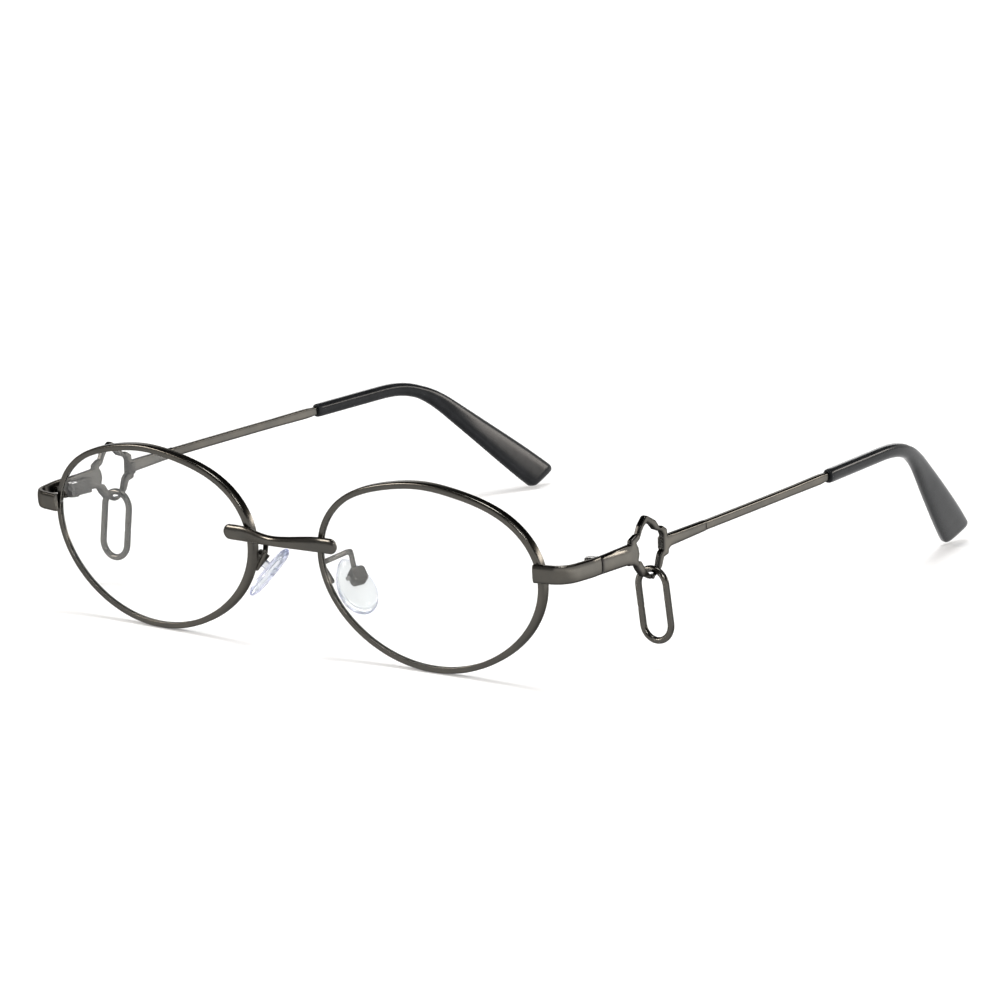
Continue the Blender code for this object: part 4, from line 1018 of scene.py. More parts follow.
@dataclass
class EyeWire(SubAssembly):
    """The grooved rim and the lens in it."""

    rounding: float = 0.24 * MM
    bevel: float = 0.42 * MM
    inner_rounding: float = 0.12 * MM
    groove_rounding: float = 0.04 * MM
    groove_width: float = 0.9 * MM
    slit_width: float = 0.3 * MM
    rim_edge: float = 0.4
    lens_thickness: float = 1.3 * MM
    lens_touch: float = 0.02 * MM
    lens_edge: float = 0.6
    stations: int = 420

    def rim(self) -> Shell:
        """The rim's section carried round the lens outline, from one side of its slit to the other.

        A section point is the outline moved in by its inset along the normal, at its depth.

        Returns:
            The rim, open at its slit.
        """
        plan = self.layout
        width, depth, floor = plan.rim_width, plan.rim_depth, plan.rim_width - plan.groove_depth
        front, back = (depth - self.groove_width) / 2, (depth + self.groove_width) / 2
        outer, inner, small = self.rounding, self.inner_rounding, self.groove_rounding
        corners = [(0.0, 0.0, self.bevel), (0.0, depth, outer), (width, depth, inner), (width, back, small)]
        corners += [(floor, back, small), (floor, front, small), (width, front, small), (width, 0.0, inner)]
        section = rounded(corners, 5)
        edge = plan.rim_at(plan.end_z, depth / 2) - plan.lens_centre
        slit = math.atan2(edge[2], edge[0])
        half = self.slit_width / 2 / float(np.linalg.norm(edge))
        angle = np.linspace(slit + half, slit + 2 * np.pi - half, self.stations)
        line, inward = plan.polar(angle)
        flat = line[:, None] + inward[:, None] * section[None, :, :1]
        rings = plan.stand(flat, section[None, :, 1])
        corner = np.minimum(section[:, 0], np.minimum(section[:, 1], depth - section[:, 1]) + section[:, 0])
        # painted shade: the rim darkens towards its outer side and edges through the edge share
        return Shell.sweep(rings, edge=np.clip(1 - corner / (2 * outer), 0, 1) * self.rim_edge)

    def lens(self) -> Shell:
        """The dished lens: its outline shrunk towards the middle on both faces, with the ridge between.

        Glass and metal touch by a hair's breadth in the groove, so that the groove's floor shows through.
        The edge share is the 30th power of the share of the way out from the middle.

        Returns:
            The lens.
        """
        plan = self.layout
        front, ridge = (plan.rim_depth - self.lens_thickness) / 2, (plan.rim_depth - self.groove_width) / 2
        touch = self.lens_touch
        line, inward = plan.polar(angles(320))
        body = line + inward * (plan.rim_width - touch)
        lip = line + inward * (plan.rim_width - plan.groove_depth - touch)
        share = np.concatenate([[0.01], np.linspace(0.06, 1.0, 22)])[:, None, None]
        levels = np.array([ridge - touch, ridge - touch, plan.rim_depth - ridge + touch])
        levels = np.append(levels, levels[-1])[:, None]
        rings = [
            plan.stand(body * share, front),
            plan.stand(np.stack([body, lip, lip, body]), levels),
            plan.stand(body * share[::-1], front + self.lens_thickness),
        ]
        edge = np.concatenate([share[:, 0, 0] ** 30, np.ones(len(levels)), share[::-1, 0, 0] ** 30])
        return Shell.sweep(np.concatenate(rings), edge=edge[:, None] * self.lens_edge)

    def build(self) -> None:
        """Makes the rim and the lens."""
        self.add("rim_wire", self.rim(), GUNMETAL, "front", "rim")
        self.add("lens_glass", self.lens(), CLEAR_LENS, "front", "lens")


@dataclass
class Bridge(SubAssembly):
    """The bridge: one bar for both sides, built whole with the left half's layout."""

    half_length: float = 13.9 * MM
    end_height: float = 3.0 * MM
    middle_height: float = 2.0 * MM
    end_depth: float = 1.3 * MM
    middle_depth: float = 1.6 * MM
    bow: float = 2.2 * MM
    power: float = 2.1
    widening: float = 0.75
    closing: float = 0.89
    solder_size: Triple = (1.5 * MM, 0.9 * MM, 2.3 * MM)
    solder_rounding: float = 0.35 * MM

    def bar(self) -> Shell:
        """Superellipse sections whose sizes go smoothly from the middle to the lobes.

        They reach full size at the widening share of the half length. They bow forward in the middle, and
        past the closing share they shrink by the cosine of an angle whose sine carries the rest.

        Returns:
            The bar without its solder.
        """
        plan = self.layout
        height = plan.end_z
        line = plan.rim_line(points=SOLID_POINTS)
        near = (np.abs(line[:, 2] - height) < self.end_height) & (line[:, 0] < plan.lens_centre[0])
        back = float(line[near, 1].min()) - plan.gap
        turn = np.linspace(0.0, np.pi / 2 - 0.03, 14)[1:]
        plain = np.linspace(0.0, self.closing, 44)
        share = np.concatenate([plain, self.closing + (1 - self.closing) * np.sin(turn)])
        size = np.concatenate([np.ones(len(plain)), np.cos(turn)])
        share = np.concatenate([-share[:0:-1], share])
        size = np.concatenate([size[:0:-1], size])
        wide = smooth(np.abs(share) / self.widening)
        tall = (self.middle_height + (self.end_height - self.middle_height) * wide) * size
        deep = (self.middle_depth + (self.end_depth - self.middle_depth) * wide) * size**0.8
        centre = back - self.end_depth / 2 - self.bow * (1 - wide)
        section = ellipse(0.5, 0.5, 56, self.power)
        x = np.broadcast_to((share * self.half_length)[:, None], (len(share), len(section)))
        y = centre[:, None] + deep[:, None] * section[None, :, 0]
        z = height + tall[:, None] * section[None, :, 1]
        return Shell.sweep(np.stack([x, y, z], axis=-1))

    def solder(self, side: int) -> Shell:
        """The small cushion of solder between the bar and a rim.

        Args:
            side: 1 for the left rim and −1 for the right one.

        Returns:
            The cushion.
        """
        plan = self.layout
        place = plan.rim_at(plan.end_z, nasal=True)
        cushion = Shell.block(self.solder_size, self.solder_rounding)
        return cushion.moved((side * (place[0] + plan.rim_width / 2), place[1] - 0.15 * MM, place[2]))

    def build(self) -> None:
        """Makes the bar, which is one piece for both sides."""
        whole = self.bar() + self.solder(1) + self.solder(-1)
        piece = self.add("bridge_bar", whole, GUNMETAL, "front")
        piece.name = piece.data.name = "bridge_bar"
        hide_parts("bridge")


@dataclass
class EndPiece(SubAssembly):
    """The flat strip from the rim round to the seam, with the rim lock behind it."""

    overlap: float = 1.1 * MM
    corner_radius: float = 4.8 * MM
    shoulder_radius: float = 9.0 * MM
    edge_rounding: float = 0.26 * MM
    start_rounding: float = 0.24 * MM
    seam_rounding: float = 0.1 * MM
    crown: float = 0.28 * MM
    arc_steps: int = 24
    lock_length: float = 2.6 * MM
    lock_depth: float = 2.2 * MM
    lock_height: float = 0.75 * MM
    lock_setback: float = 0.6 * MM
    slit_width: float = 0.3 * MM
    screw_radius: float = 0.35 * MM

    def line(self, x: float) -> tuple[float, float]:
        """The outer and the inner line of the slanted front, seen from above.

        Args:
            x: the place across the front.

        Returns:
            The Y of the outer and of the inner line.
        """
        plan = self.layout
        slope = math.tan(plan.end_slant)
        top = plan.rim_at(plan.end_z + plan.end_height / 2)[1]
        inner = top - plan.gap + (x - plan.rim_at(plan.end_z)[0]) * slope
        return inner - plan.end_thickness / math.cos(plan.end_slant), inner

    def path(self) -> Array:
        """The strip's middle line from above: the slanted front, an arc, a lean outwards and the seam.

        Its corners at start and seam are plain, and only the arcs of the two between them are kept. The
        stations of the two ends close up towards them as one less the cosine.

        Returns:
            The (x, y) of the line's stations.
        """
        plan = self.layout
        start_x = plan.rim_at(plan.end_z)[0] - self.overlap
        corner_x = start_x + plan.end_corner
        half = plan.end_thickness / 2
        middle_x = plan.face_x - half
        start = np.array([start_x, sum(self.line(start_x)) / 2])
        corner = np.array([corner_x, sum(self.line(corner_x)) / 2])
        shoulder = np.array([middle_x, plan.end_shoulder])
        seam = np.array([middle_x, plan.seam_depth - self.slit_width / 2])
        guides = [(*start, 0.0), (*corner, self.corner_radius - half), (*shoulder, self.shoulder_radius)]
        each = self.arc_steps + 1
        arc = rounded([*guides, (*seam, 0.0)], self.arc_steps)[each : 3 * each]
        ends = 1 - np.cos(np.linspace(0, np.pi / 2, 16)[:-1])
        head = start + (arc[0] - start) * ends[:, None]
        tail = seam + (arc[-1] - seam) * ends[:, None]
        return np.concatenate([head, arc, tail[::-1]])

    def strip(self) -> Shell:
        """A crowned flat section carried along the middle line, drawn in at both ends.

        Returns:
            The strip, tilted by the end tilt.
        """
        plan = self.layout
        thick, tall = plan.end_thickness, plan.end_height
        section = dense(rectangle(thick, tall, self.edge_rounding, 6), 0.2 * MM)
        section = crowned(section, thick, tall, self.crown)
        path = self.path()
        along = unit(np.gradient(path, axis=0))
        outward = np.stack([along[:, 1], -along[:, 0]], axis=1)
        travelled = np.concatenate([[0.0], np.cumsum(np.linalg.norm(np.diff(path, axis=0), axis=1))])
        draw = roundover(travelled, self.start_rounding)
        draw = draw + roundover(travelled[-1] - travelled, self.seam_rounding)
        across = section[None, :, 0] * (1 - 2 * draw[:, None] / thick)
        upward = section[None, :, 1] * (1 - 2 * draw[:, None] / tall)
        flat = path[:, None] + outward[:, None] * across[..., None]
        rings = np.concatenate([flat, upward[..., None]], axis=-1)
        # painted shade: the corner share darkens the strip along its edges
        edge = corner_share(section, thick, tall, self.edge_rounding)
        place = Matrix.Translation((0, 0, plan.end_z)) @ Matrix.Rotation(plan.end_tilt, 4, "X")
        return Shell.sweep(rings, edge=edge).placed(place)

    def lock_middle(self, level: int) -> Vector:
        """The middle of a rim lock block: one gap outside the rim and behind the strip.

        Args:
            level: 1 above, −1 below, and 0 between the two.

        Returns:
            The place.
        """
        plan = self.layout
        x = plan.rim_line()[:, 0].max() + plan.gap + self.lock_length / 2
        lean = (self.lock_height + self.slit_width) * math.sin(plan.end_tilt)
        y = self.line(x + self.lock_length / 2)[1] + lean + self.lock_setback + self.lock_depth / 2
        return Vector((x, y, plan.end_z + level * (self.slit_width + self.lock_height) / 2))

    def lock_block(self, level: int) -> Shell:
        """One block of the rim lock, with the solder that holds it to the rim and the strip.

        Args:
            level: 1 for the upper block and −1 for the lower one.

        Returns:
            The block.
        """
        block = Shell.block((self.lock_length, self.lock_depth, self.lock_height), 0.15 * MM)
        foot = Shell.block((0.9 * MM, 1.1 * MM, 0.85 * MM), 0.2 * MM)
        side = Vector((-self.lock_length / 2 - 0.1 * MM, 0.15 * MM, 0.0))
        front = Vector((-0.2 * MM, -self.lock_depth / 2 - 0.1 * MM, 0.0))
        middle = self.lock_middle(level)
        return block.moved(middle) + foot.moved(middle + side) + foot.moved(middle + front)

    def build(self) -> None:
        """Makes the strip, both lock blocks and their screw."""
        self.add("end_strip", self.strip(), GUNMETAL, "front", "end_piece")
        self.add("rim_lock_top", self.lock_block(1), GUNMETAL, "front", "rim_lock_upper")
        self.add("rim_lock_bottom", self.lock_block(-1), GUNMETAL, "front", "rim_lock_lower")
        reach = self.slit_width / 2 + self.lock_height
        screw = slotted_screw(self.screw_radius, 1.9 * self.screw_radius, 0.2 * MM, -reach, reach)
        self.add("lock_screw", screw.moved(self.lock_middle(0)), BRIGHT_STEEL, "front", "rim_lock_screw")


def slotted_screw(radius: float, head_radius: float, head: float, bottom: float, top: float) -> Shell:
    """A screw along Z with a slot across its head.

    The shank and the lower part of the head are turned, and two half discs stand on them with the slot
    between, a fifth of the head's width.

    Args:
        radius: the shank's radius.
        head_radius: the head's radius.
        head: the head's height, which the slot cuts to 0.45 of it.
        bottom: the height of the shank's end.
        top: the height that the head stands on.

    Returns:
        The screw, its axis on Z.
    """
    base = top + 0.06 * MM
    floor = base + head * 0.45
    profile = [(0.0, floor, 0.0), (head_radius, floor, 0.02 * MM), (head_radius, base, 0.06 * MM)]
    profile += [(radius, base, 0.03 * MM), (radius, bottom, 0.06 * MM), (0.0, bottom, 0.0)]
    body = Shell.turned(profile)
    half_slot = head_radius * 0.2
    start = math.asin(half_slot / head_radius)
    angle = np.linspace(start, np.pi - start, 24)
    half_disc = np.stack([np.cos(angle), np.sin(angle)], axis=1) * head_radius * 0.98
    upper = Shell.prism(half_disc, head * 0.6, min(head * 0.2, 0.1 * MM), 3)
    lift = Matrix.Translation((0, 0, floor + head * 0.25))
    turned = lift @ Matrix.Rotation(math.pi, 4, "Z")
    return body + upper.placed(lift) + upper.placed(turned)


# Hinges --------------------


@dataclass
class Hinge(SubAssembly):
    """Two leaves with their knuckles, and the screw through them."""

    knuckle_radius: float = 1.25 * MM
    knuckle_height: float = 0.65 * MM
    leaf_thickness: float = 0.7 * MM
    leaf_length: float = 5.0 * MM
    front_leaf_length: float = 2.9 * MM
    front_leaf_setback: float = 0.45 * MM
    leaf_height: float = 2.6 * MM
    temple_drop: float = 0.4 * MM
    screw_radius: float = 0.45 * MM
    head_radius: float = 0.9 * MM
    head_height: float = 0.22 * MM

    def leaf(self, forward: bool, levels: Sequence[int]) -> Shell:
        """A leaf: its plate against the strip, and at each level a knuckle with the web that carries it.

        Args:
            forward: whether it is the end piece's leaf.
            levels: the knuckles' places, counted from the middle one.

        Returns:
            The leaf with its knuckles.
        """
        plan = self.layout
        axis = plan.hinge
        strip = plan.end_thickness if forward else plan.casting_thickness
        setback = self.front_leaf_setback if forward else 0.0
        outer = plan.face_x - strip - plan.gap - setback
        length = self.front_leaf_length if forward else self.leaf_length
        near = self.knuckle_radius + plan.gap
        sign = -1 if forward else 1
        drop = 0.0 if forward else self.temple_drop
        size = (self.leaf_thickness, length, self.leaf_height + drop)
        along = axis[1] + sign * (near + length / 2)
        middle = (outer - self.leaf_thickness / 2, along, axis[2] - drop / 2)
        plate = Shell.block(size, 0.16 * MM).moved(middle)
        pad = Shell.block((plan.gap * 2 + setback, length * 0.8, self.leaf_height * 0.75), 0.1 * MM)
        whole = plate + pad.moved((outer + (plan.gap + setback) / 2, along, axis[2]))
        circle = ellipse(self.knuckle_radius, self.knuckle_radius, 48)
        knuckle = Shell.prism(circle, self.knuckle_height, 0.1 * MM)
        web_length = near + self.leaf_thickness
        web_width = outer - self.leaf_thickness / 2 - axis[0]
        web = Shell.block((web_width, web_length, 0.9 * self.knuckle_height), 0.08 * MM)
        for level in levels:
            height = axis[2] + level * (self.knuckle_height + plan.gap)
            whole = whole + knuckle.moved((axis[0], axis[1], height))
            whole = whole + web.moved((axis[0] + web_width / 2, axis[1] + sign * web_length / 2, height))
        return whole

    def build(self) -> None:
        """Makes both leaves and the screw."""
        plan = self.layout
        self.add("hinge_front", self.leaf(True, (-1, 1)), GUNMETAL, "front", "hinge_front_leaf")
        self.add("hinge_back", self.leaf(False, (0,)), GUNMETAL, "temple", "hinge_temple_leaf")
        reach = 1.5 * self.knuckle_height + plan.gap
        screw = slotted_screw(self.screw_radius, self.head_radius, self.head_height, -reach, reach)
        turn = Matrix.Translation(plan.hinge) @ Matrix.Rotation(math.radians(35), 4, "Z")
        self.add("hinge_pin", screw.placed(turn), BRIGHT_STEEL, "front", "hinge_screw")


# Temples --------------------


@dataclass
class TempleCasting(SubAssembly):
    """Strip, open ring and bar in one casting."""

    ring_top: float = 7.1 * MM
    ring_centre: float = 15.4 * MM
    strip_height: float = 3.4 * MM
    edge_rounding: float = 0.32 * MM
    strip_crown: float = 0.33 * MM
    bar_crown: float = 0.16 * MM
    boss_radius: float = 0.38 * MM
    boss_height: float = 0.25 * MM

    def outline(self) -> Array:
        """The casting's edge, as offsets back and up from the seam.

        Returns:
            The outline as an array of (x, y).
        """
        start, half, middle = 0.15 * MM, self.strip_height / 2, self.ring_centre
        plan, top, low = self.layout, self.ring_top, -self.layout.ring_bottom
        bar_end, bar_top, bar_low = plan.bar_end, plan.bar_top, plan.bar_bottom
        corners = [
            (start, -half, 0.11 * MM),
            (start, half, 0.11 * MM),
            (middle - 6.15 * MM, half + 0.6 * MM, 0.25 * MM),
            (middle - 6.15 * MM, half + 1.3 * MM, 0.5 * MM),
            (middle - 4.5 * MM, top - 3.25 * MM, 0.5 * MM),
            (middle - 4.05 * MM, top - 3.35 * MM, 0.2 * MM),
            (middle - 3.35 * MM, top - 1.75 * MM, 1.5 * MM),
            (middle - 1.55 * MM, top, 0.9 * MM),
            (middle + 1.5 * MM, top - 1.55 * MM, 1.8 * MM),
            (middle + 2.85 * MM, top - 3.2 * MM, 0.3 * MM),
            (middle + 3.65 * MM, top - 2.95 * MM, 0.5 * MM),
            (middle + 5.0 * MM, top - 3.75 * MM, 0.7 * MM),
            (middle + 5.1 * MM, bar_top - 0.5 * MM, 0.2 * MM),
            (bar_end, bar_top, 0.11 * MM),
            (bar_end, bar_low, 0.11 * MM),
            (middle + 6.2 * MM, bar_low - 0.9 * MM, 0.4 * MM),
            (middle + 5.55 * MM, bar_low - 1.3 * MM, 0.3 * MM),
            (middle + 5.55 * MM, bar_low - 2.1 * MM, 0.6 * MM),
            (middle + 4.0 * MM, low + 3.4 * MM, 0.3 * MM),
            (middle + 3.3 * MM, low + 1.75 * MM, 0.6 * MM),
            (middle + 2.5 * MM, low + 0.95 * MM, 0.6 * MM),
            (middle + 0.8 * MM, low + 0.1 * MM, 0.5 * MM),
            (middle - 0.3 * MM, low, 0.5 * MM),
            (middle - 1.0 * MM, low + 0.4 * MM, 0.2 * MM),
            (middle - 2.7 * MM, low + 0.9 * MM, 0.8 * MM),
            (middle - 4.0 * MM, low + 2.25 * MM, 0.6 * MM),
            (middle - 4.6 * MM, -half - 0.5 * MM, 0.3 * MM),
            (middle - 5.6 * MM, -half - 0.05 * MM, 0.4 * MM),
            (middle - 6.6 * MM, -half - 0.05 * MM, 0.3 * MM),
            (middle - 7.0 * MM, -half + 0.2 * MM, 0.3 * MM),
        ]
        return rounded(corners, 7)

    def opening(self) -> Array:
        """The ring's opening, with the notches beside the strip and the bar.

        Returns:
            The outline as an array of (x, y).
        """
        middle, top, low = self.ring_centre, self.ring_top, -self.layout.ring_bottom
        half, bar_low = self.strip_height / 2, self.layout.bar_bottom
        seat = low + self.layout.ring_bar
        corners = [
            (middle - 1.25 * MM, top - 1.45 * MM, 0.25 * MM),
            (middle + 0.25 * MM, top - 2.3 * MM, 0.8 * MM),
            (middle + 1.25 * MM, top - 3.3 * MM, 0.2 * MM),
            (middle + 3.3 * MM, top - 4.05 * MM, 0.3 * MM),
            (middle + 3.75 * MM, top - 4.75 * MM, 0.25 * MM),
            (middle + 3.75 * MM, bar_low - 0.95 * MM, 0.25 * MM),
            (middle + 3.2 * MM, bar_low - 1.4 * MM, 0.25 * MM),
            (middle + 2.8 * MM, low + 3.95 * MM, 0.3 * MM),
            (middle + 2.25 * MM, low + 2.05 * MM, 0.5 * MM),
            (middle + 1.8 * MM, seat, 0.3 * MM),
            (middle - 0.2 * MM, seat, 0.3 * MM),
            (middle - 1.9 * MM, low + 2.3 * MM, 0.4 * MM),
            (middle - 3.1 * MM, low + 3.9 * MM, 0.2 * MM),
            (middle - 3.8 * MM, low + 3.95 * MM, 0.1 * MM),
            (middle - 4.0 * MM, -half + 0.75 * MM, 0.2 * MM),
            (middle - 3.7 * MM, 0.1 * MM, 1.0 * MM),
            (middle - 4.0 * MM, half - 0.3 * MM, 0.8 * MM),
            (middle - 4.6 * MM, half + 0.6 * MM, 0.15 * MM),
            (middle - 3.65 * MM, top - 4.25 * MM, 0.25 * MM),
            (middle - 3.0 * MM, top - 3.05 * MM, 0.8 * MM),
            (middle - 2.35 * MM, top - 2.1 * MM, 0.8 * MM),
        ]
        return rounded(corners, 7)

    def crown(self, flat: Array) -> Array:
        """The crown of strip and bar, falling by the height share cubed and fading out before the ring.

        Args:
            flat: places as offsets back and up.

        Returns:
            How much lower the face lies there.
        """
        plan = self.layout
        back, up = flat[:, 0], flat[:, 1]
        strip = np.clip(np.abs(up) / (self.strip_height / 2), 0.0, 1.0) ** 3
        strip = strip * (1 - smooth((back - self.ring_centre + 8.5 * MM) / (4.5 * MM)))
        root = self.ring_centre + 6.2 * MM
        along = np.clip((back - root) / (plan.bar_end - root), 0.0, 1.0)
        top = plan.bar_top - 0.5 * MM * (1 - along)
        bottom = plan.bar_bottom - 0.9 * MM * (1 - along)
        bar = np.clip(np.abs(2 * up - top - bottom) / (top - bottom), 0.0, 1.0) ** 3
        bar = bar * smooth((back - root + 0.5 * MM) / (1.5 * MM))
        return self.strip_crown * strip + self.bar_crown * bar

    def frame(self, depth: float = 0.0) -> Matrix:
        """The casting's frame: local X back, Y up and Z outwards, at a depth inside the outer face."""
        seam = self.layout.seam
        axes = Matrix(((0, 0, 1, 0), (1, 0, 0, 0), (0, 1, 0, 0), (0, 0, 0, 1)))
        return Matrix.Translation((seam[0] - depth, seam[1], seam[2])) @ axes

    def build(self) -> None:
        """Makes the casting with the bar's thicker root and the ring's boss."""
        plan = self.layout
        thick = plan.casting_thickness
        plate = Shell.plaque([self.outline(), self.opening()], thick, self.edge_rounding, self.crown)
        whole = plate.placed(self.frame(thick / 2))
        root = Shell.block((1.5 * MM, 2.4 * MM, 1.6 * MM), 0.3 * MM)
        middle = (self.ring_centre + 4.8 * MM, (plan.bar_top + plan.bar_bottom) / 2 - 1.0 * MM, -0.35 * MM)
        whole = whole + root.placed(self.frame(thick / 2) @ Matrix.Translation(middle))
        boss = Shell.prism(ellipse(self.boss_radius, self.boss_radius, 40), 2 * self.boss_height, 0.08 * MM)
        low = (self.ring_centre + 0.1 * MM, -plan.ring_bottom + self.boss_radius, 0.0)
        whole = whole + boss.placed(self.frame() @ Matrix.Translation(low))
        self.add("ring_and_bar", whole, GUNMETAL, "temple", "temple_casting")


@dataclass
class TempleArm(SubAssembly):
    """The rod behind the bar and the tip on it."""

    rod_length: float = 43.3 * MM
    rod_height: float = 1.84 * MM
    rod_thickness: float = 1.15 * MM
    rod_crown: float = 0.22 * MM
    rod_rounding: float = 0.24 * MM
    flare_height: float = 2.0 * MM
    flare_length: float = 4.5 * MM
    neck_height: float = 1.7 * MM
    pitch: float = math.radians(2.2)
    inward_at_bar: float = math.radians(1.5)
    inward_at_bend: float = math.radians(3.6)
    inward_paddle: float = math.radians(15.8)
    bend_start: float = 62.3 * MM
    bend_length: float = 24.4 * MM
    bend_pitch: float = math.radians(-37.1)
    tip_length: float = 73.0 * MM
    tip_height: float = 2.85 * MM
    tip_thickness: float = 2.25 * MM
    end_width: float = 8.6 * MM
    flare_start: float = 32.0 * MM
    end_angle: float = math.radians(30)
    twist: float = math.radians(-12)
    tip_rounding: float = 1.7 * MM

    def path(self, distances: Array) -> tuple[Array, Array]:
        """The centre line behind the bar and its directions, at distances from the bar's end.

        The heading turns inwards and the pitch down by smooth laws, and the line is the running sum of the
        steps that those angles give.

        Args:
            distances: along the line, less than 0 before the bar's end.

        Returns:
            The places and the directions.
        """
        plan = self.layout
        fine = np.linspace(0.0, float(distances.max()), 2400)
        bend = smooth((fine - self.bend_start) / self.bend_length)
        inward = self.inward_at_bar
        inward = inward + (self.inward_at_bend - self.inward_at_bar) * np.clip(fine / self.bend_start, 0, 1)
        inward = inward + (self.inward_paddle - self.inward_at_bend) * bend
        pitch = self.pitch + (self.bend_pitch - self.pitch) * bend
        level = np.cos(pitch)
        heading = np.stack([-np.sin(inward) * level, np.cos(inward) * level, np.sin(pitch)], axis=1)
        middle = (heading[1:] + heading[:-1]) / 2 * (fine[1] - fine[0])
        lift = (plan.bar_top + plan.bar_bottom) / 2
        start = plan.seam + np.array([-plan.casting_thickness / 2, plan.bar_end + plan.gap, lift])
        line = start + np.concatenate([np.zeros((1, 3)), np.cumsum(middle, axis=0)])
        places = np.stack([np.interp(distances, fine, line[:, i]) for i in range(3)], axis=1)
        before = distances < 0
        along = np.stack([np.interp(distances, fine, heading[:, i]) for i in range(3)], axis=1)
        places = np.where(before[:, None], start + heading[0] * distances[:, None], places)
        return places, unit(along)

    @staticmethod
    def axes(along: Array, twist: Array) -> tuple[Array, Array]:
        """The outward and upward axis of each section, square to the line and turned about it by a twist.

        Args:
            along: the line's directions.
            twist: an angle for each.

        Returns:
            Both axes of each section.
        """
        outward = unit(np.array([1.0, 0.0, 0.0]) - along * along[:, :1])
        upward = np.cross(outward, along)
        upward = upward * np.where(upward[:, 2:] < 0, -1.0, 1.0)
        cosine, sine = np.cos(twist)[:, None], np.sin(twist)[:, None]
        return outward * cosine + upward * sine, upward * cosine - outward * sine

    def rod(self) -> Shell:
        """A flat rod with a crowned outer side, flared near its end and drawn in to a neck in the tip.

        Returns:
            The rod.
        """
        length, overlap = self.rod_length, 0.6 * MM
        start, flare = -self.layout.gap, length - self.flare_length
        marks = [start, 0.4 * length, 0.7 * length, flare, flare + 1.8 * MM]
        marks += [length - overlap, length + overlap]
        tall_at = [self.rod_height] * 3 + [self.flare_height] * 2 + [self.neck_height] * 2
        distances = np.sort(np.concatenate([np.linspace(start, length + overlap, 90), marks]))
        distances = np.unique(np.round(distances, 7))
        tall = np.interp(distances, marks, tall_at)
        thick = np.interp(distances, marks, [1, 1, 1, 1, 1, 0.9, 0.85])
        size = (self.rod_thickness, self.rod_height)
        section = dense(rectangle(*size, self.rod_rounding, 6), 0.12 * MM)
        # painted shade: the corner share darkens the rod along its edges
        edge = corner_share(section, *size, self.rod_rounding)
        section = crowned(section, *size, self.rod_crown)
        places, along = self.path(distances)
        outward, upward = self.axes(along, np.zeros(len(distances)))
        across = section[None, :, :1] * thick[:, None, None]
        rise = section[None, :, 1:] * (tall / self.rod_height)[:, None, None]
        rings = places[:, None] + outward[:, None] * across + upward[:, None] * rise
        return Shell.sweep(rings, edge=edge)

    def tip(self) -> Shell:
        """The tip: a slim sleeve, the bend, and a paddle that widens to its slanted end.

        The width grows evenly from the flare's start, sections lean by the end angle times the share
        cubed, and the last sections draw in along a quarter circle. They are superellipses whose power goes
        from 2.4 at the sleeve to 3.5 at the end.

        Returns:
            The tip.
        """
        start, end = self.rod_length + self.layout.gap, self.rod_length + self.tip_length
        rounding = self.tip_rounding
        front = np.array([0.0, 0.04, 0.12, 0.25, 0.45, 0.7, 1.0]) * MM
        close = rounding * (1 - np.sin(np.linspace(0, np.pi / 2, 14)))
        middle = np.linspace(start + 1.6 * MM, end - 1.1 * rounding, 150)
        distances = np.concatenate([start + front, middle, end - close])
        mouth = np.array([0, 0.04, 0.12, 0.25, 1.0]) * MM
        front_size = np.interp(distances - start, mouth, [0.78, 0.87, 0.93, 0.96, 1])
        left = np.clip((end - distances) / rounding, 0.0, 1.0)
        end_size = np.sqrt(np.clip(1 - (1 - left) ** 2, 0, 1))
        flare = start + self.flare_start
        share = np.clip((distances - flare) / (end - flare), 0.0, 1.0)
        width = self.tip_height + (self.end_width - self.tip_height) * share
        places, along = self.path(distances)
        outward, upward = self.axes(along, self.twist * smooth(share * 2))
        lean = self.end_angle * share**3
        upward = upward * np.cos(lean)[:, None] + np.cross(outward, upward) * np.sin(-lean)[:, None]
        loss = (1 - end_size) * np.minimum(self.tip_thickness, width)
        tall = width * front_size - loss * 1.4
        thick = self.tip_thickness * front_size * (0.25 + 0.75 * end_size)
        section = ellipse(thick / 2, tall / 2, 64, 2.4 + 1.1 * share)
        rings = places[:, None] + outward[:, None] * section[..., :1] + upward[:, None] * section[..., 1:]
        return Shell.sweep(rings)

    def build(self) -> None:
        """Makes the rod and the tip."""
        self.add("rod", self.rod(), GUNMETAL, "temple", "temple_rod")
        self.add("tip_sleeve", self.tip(), CHARCOAL, "temple", "temple_tip")


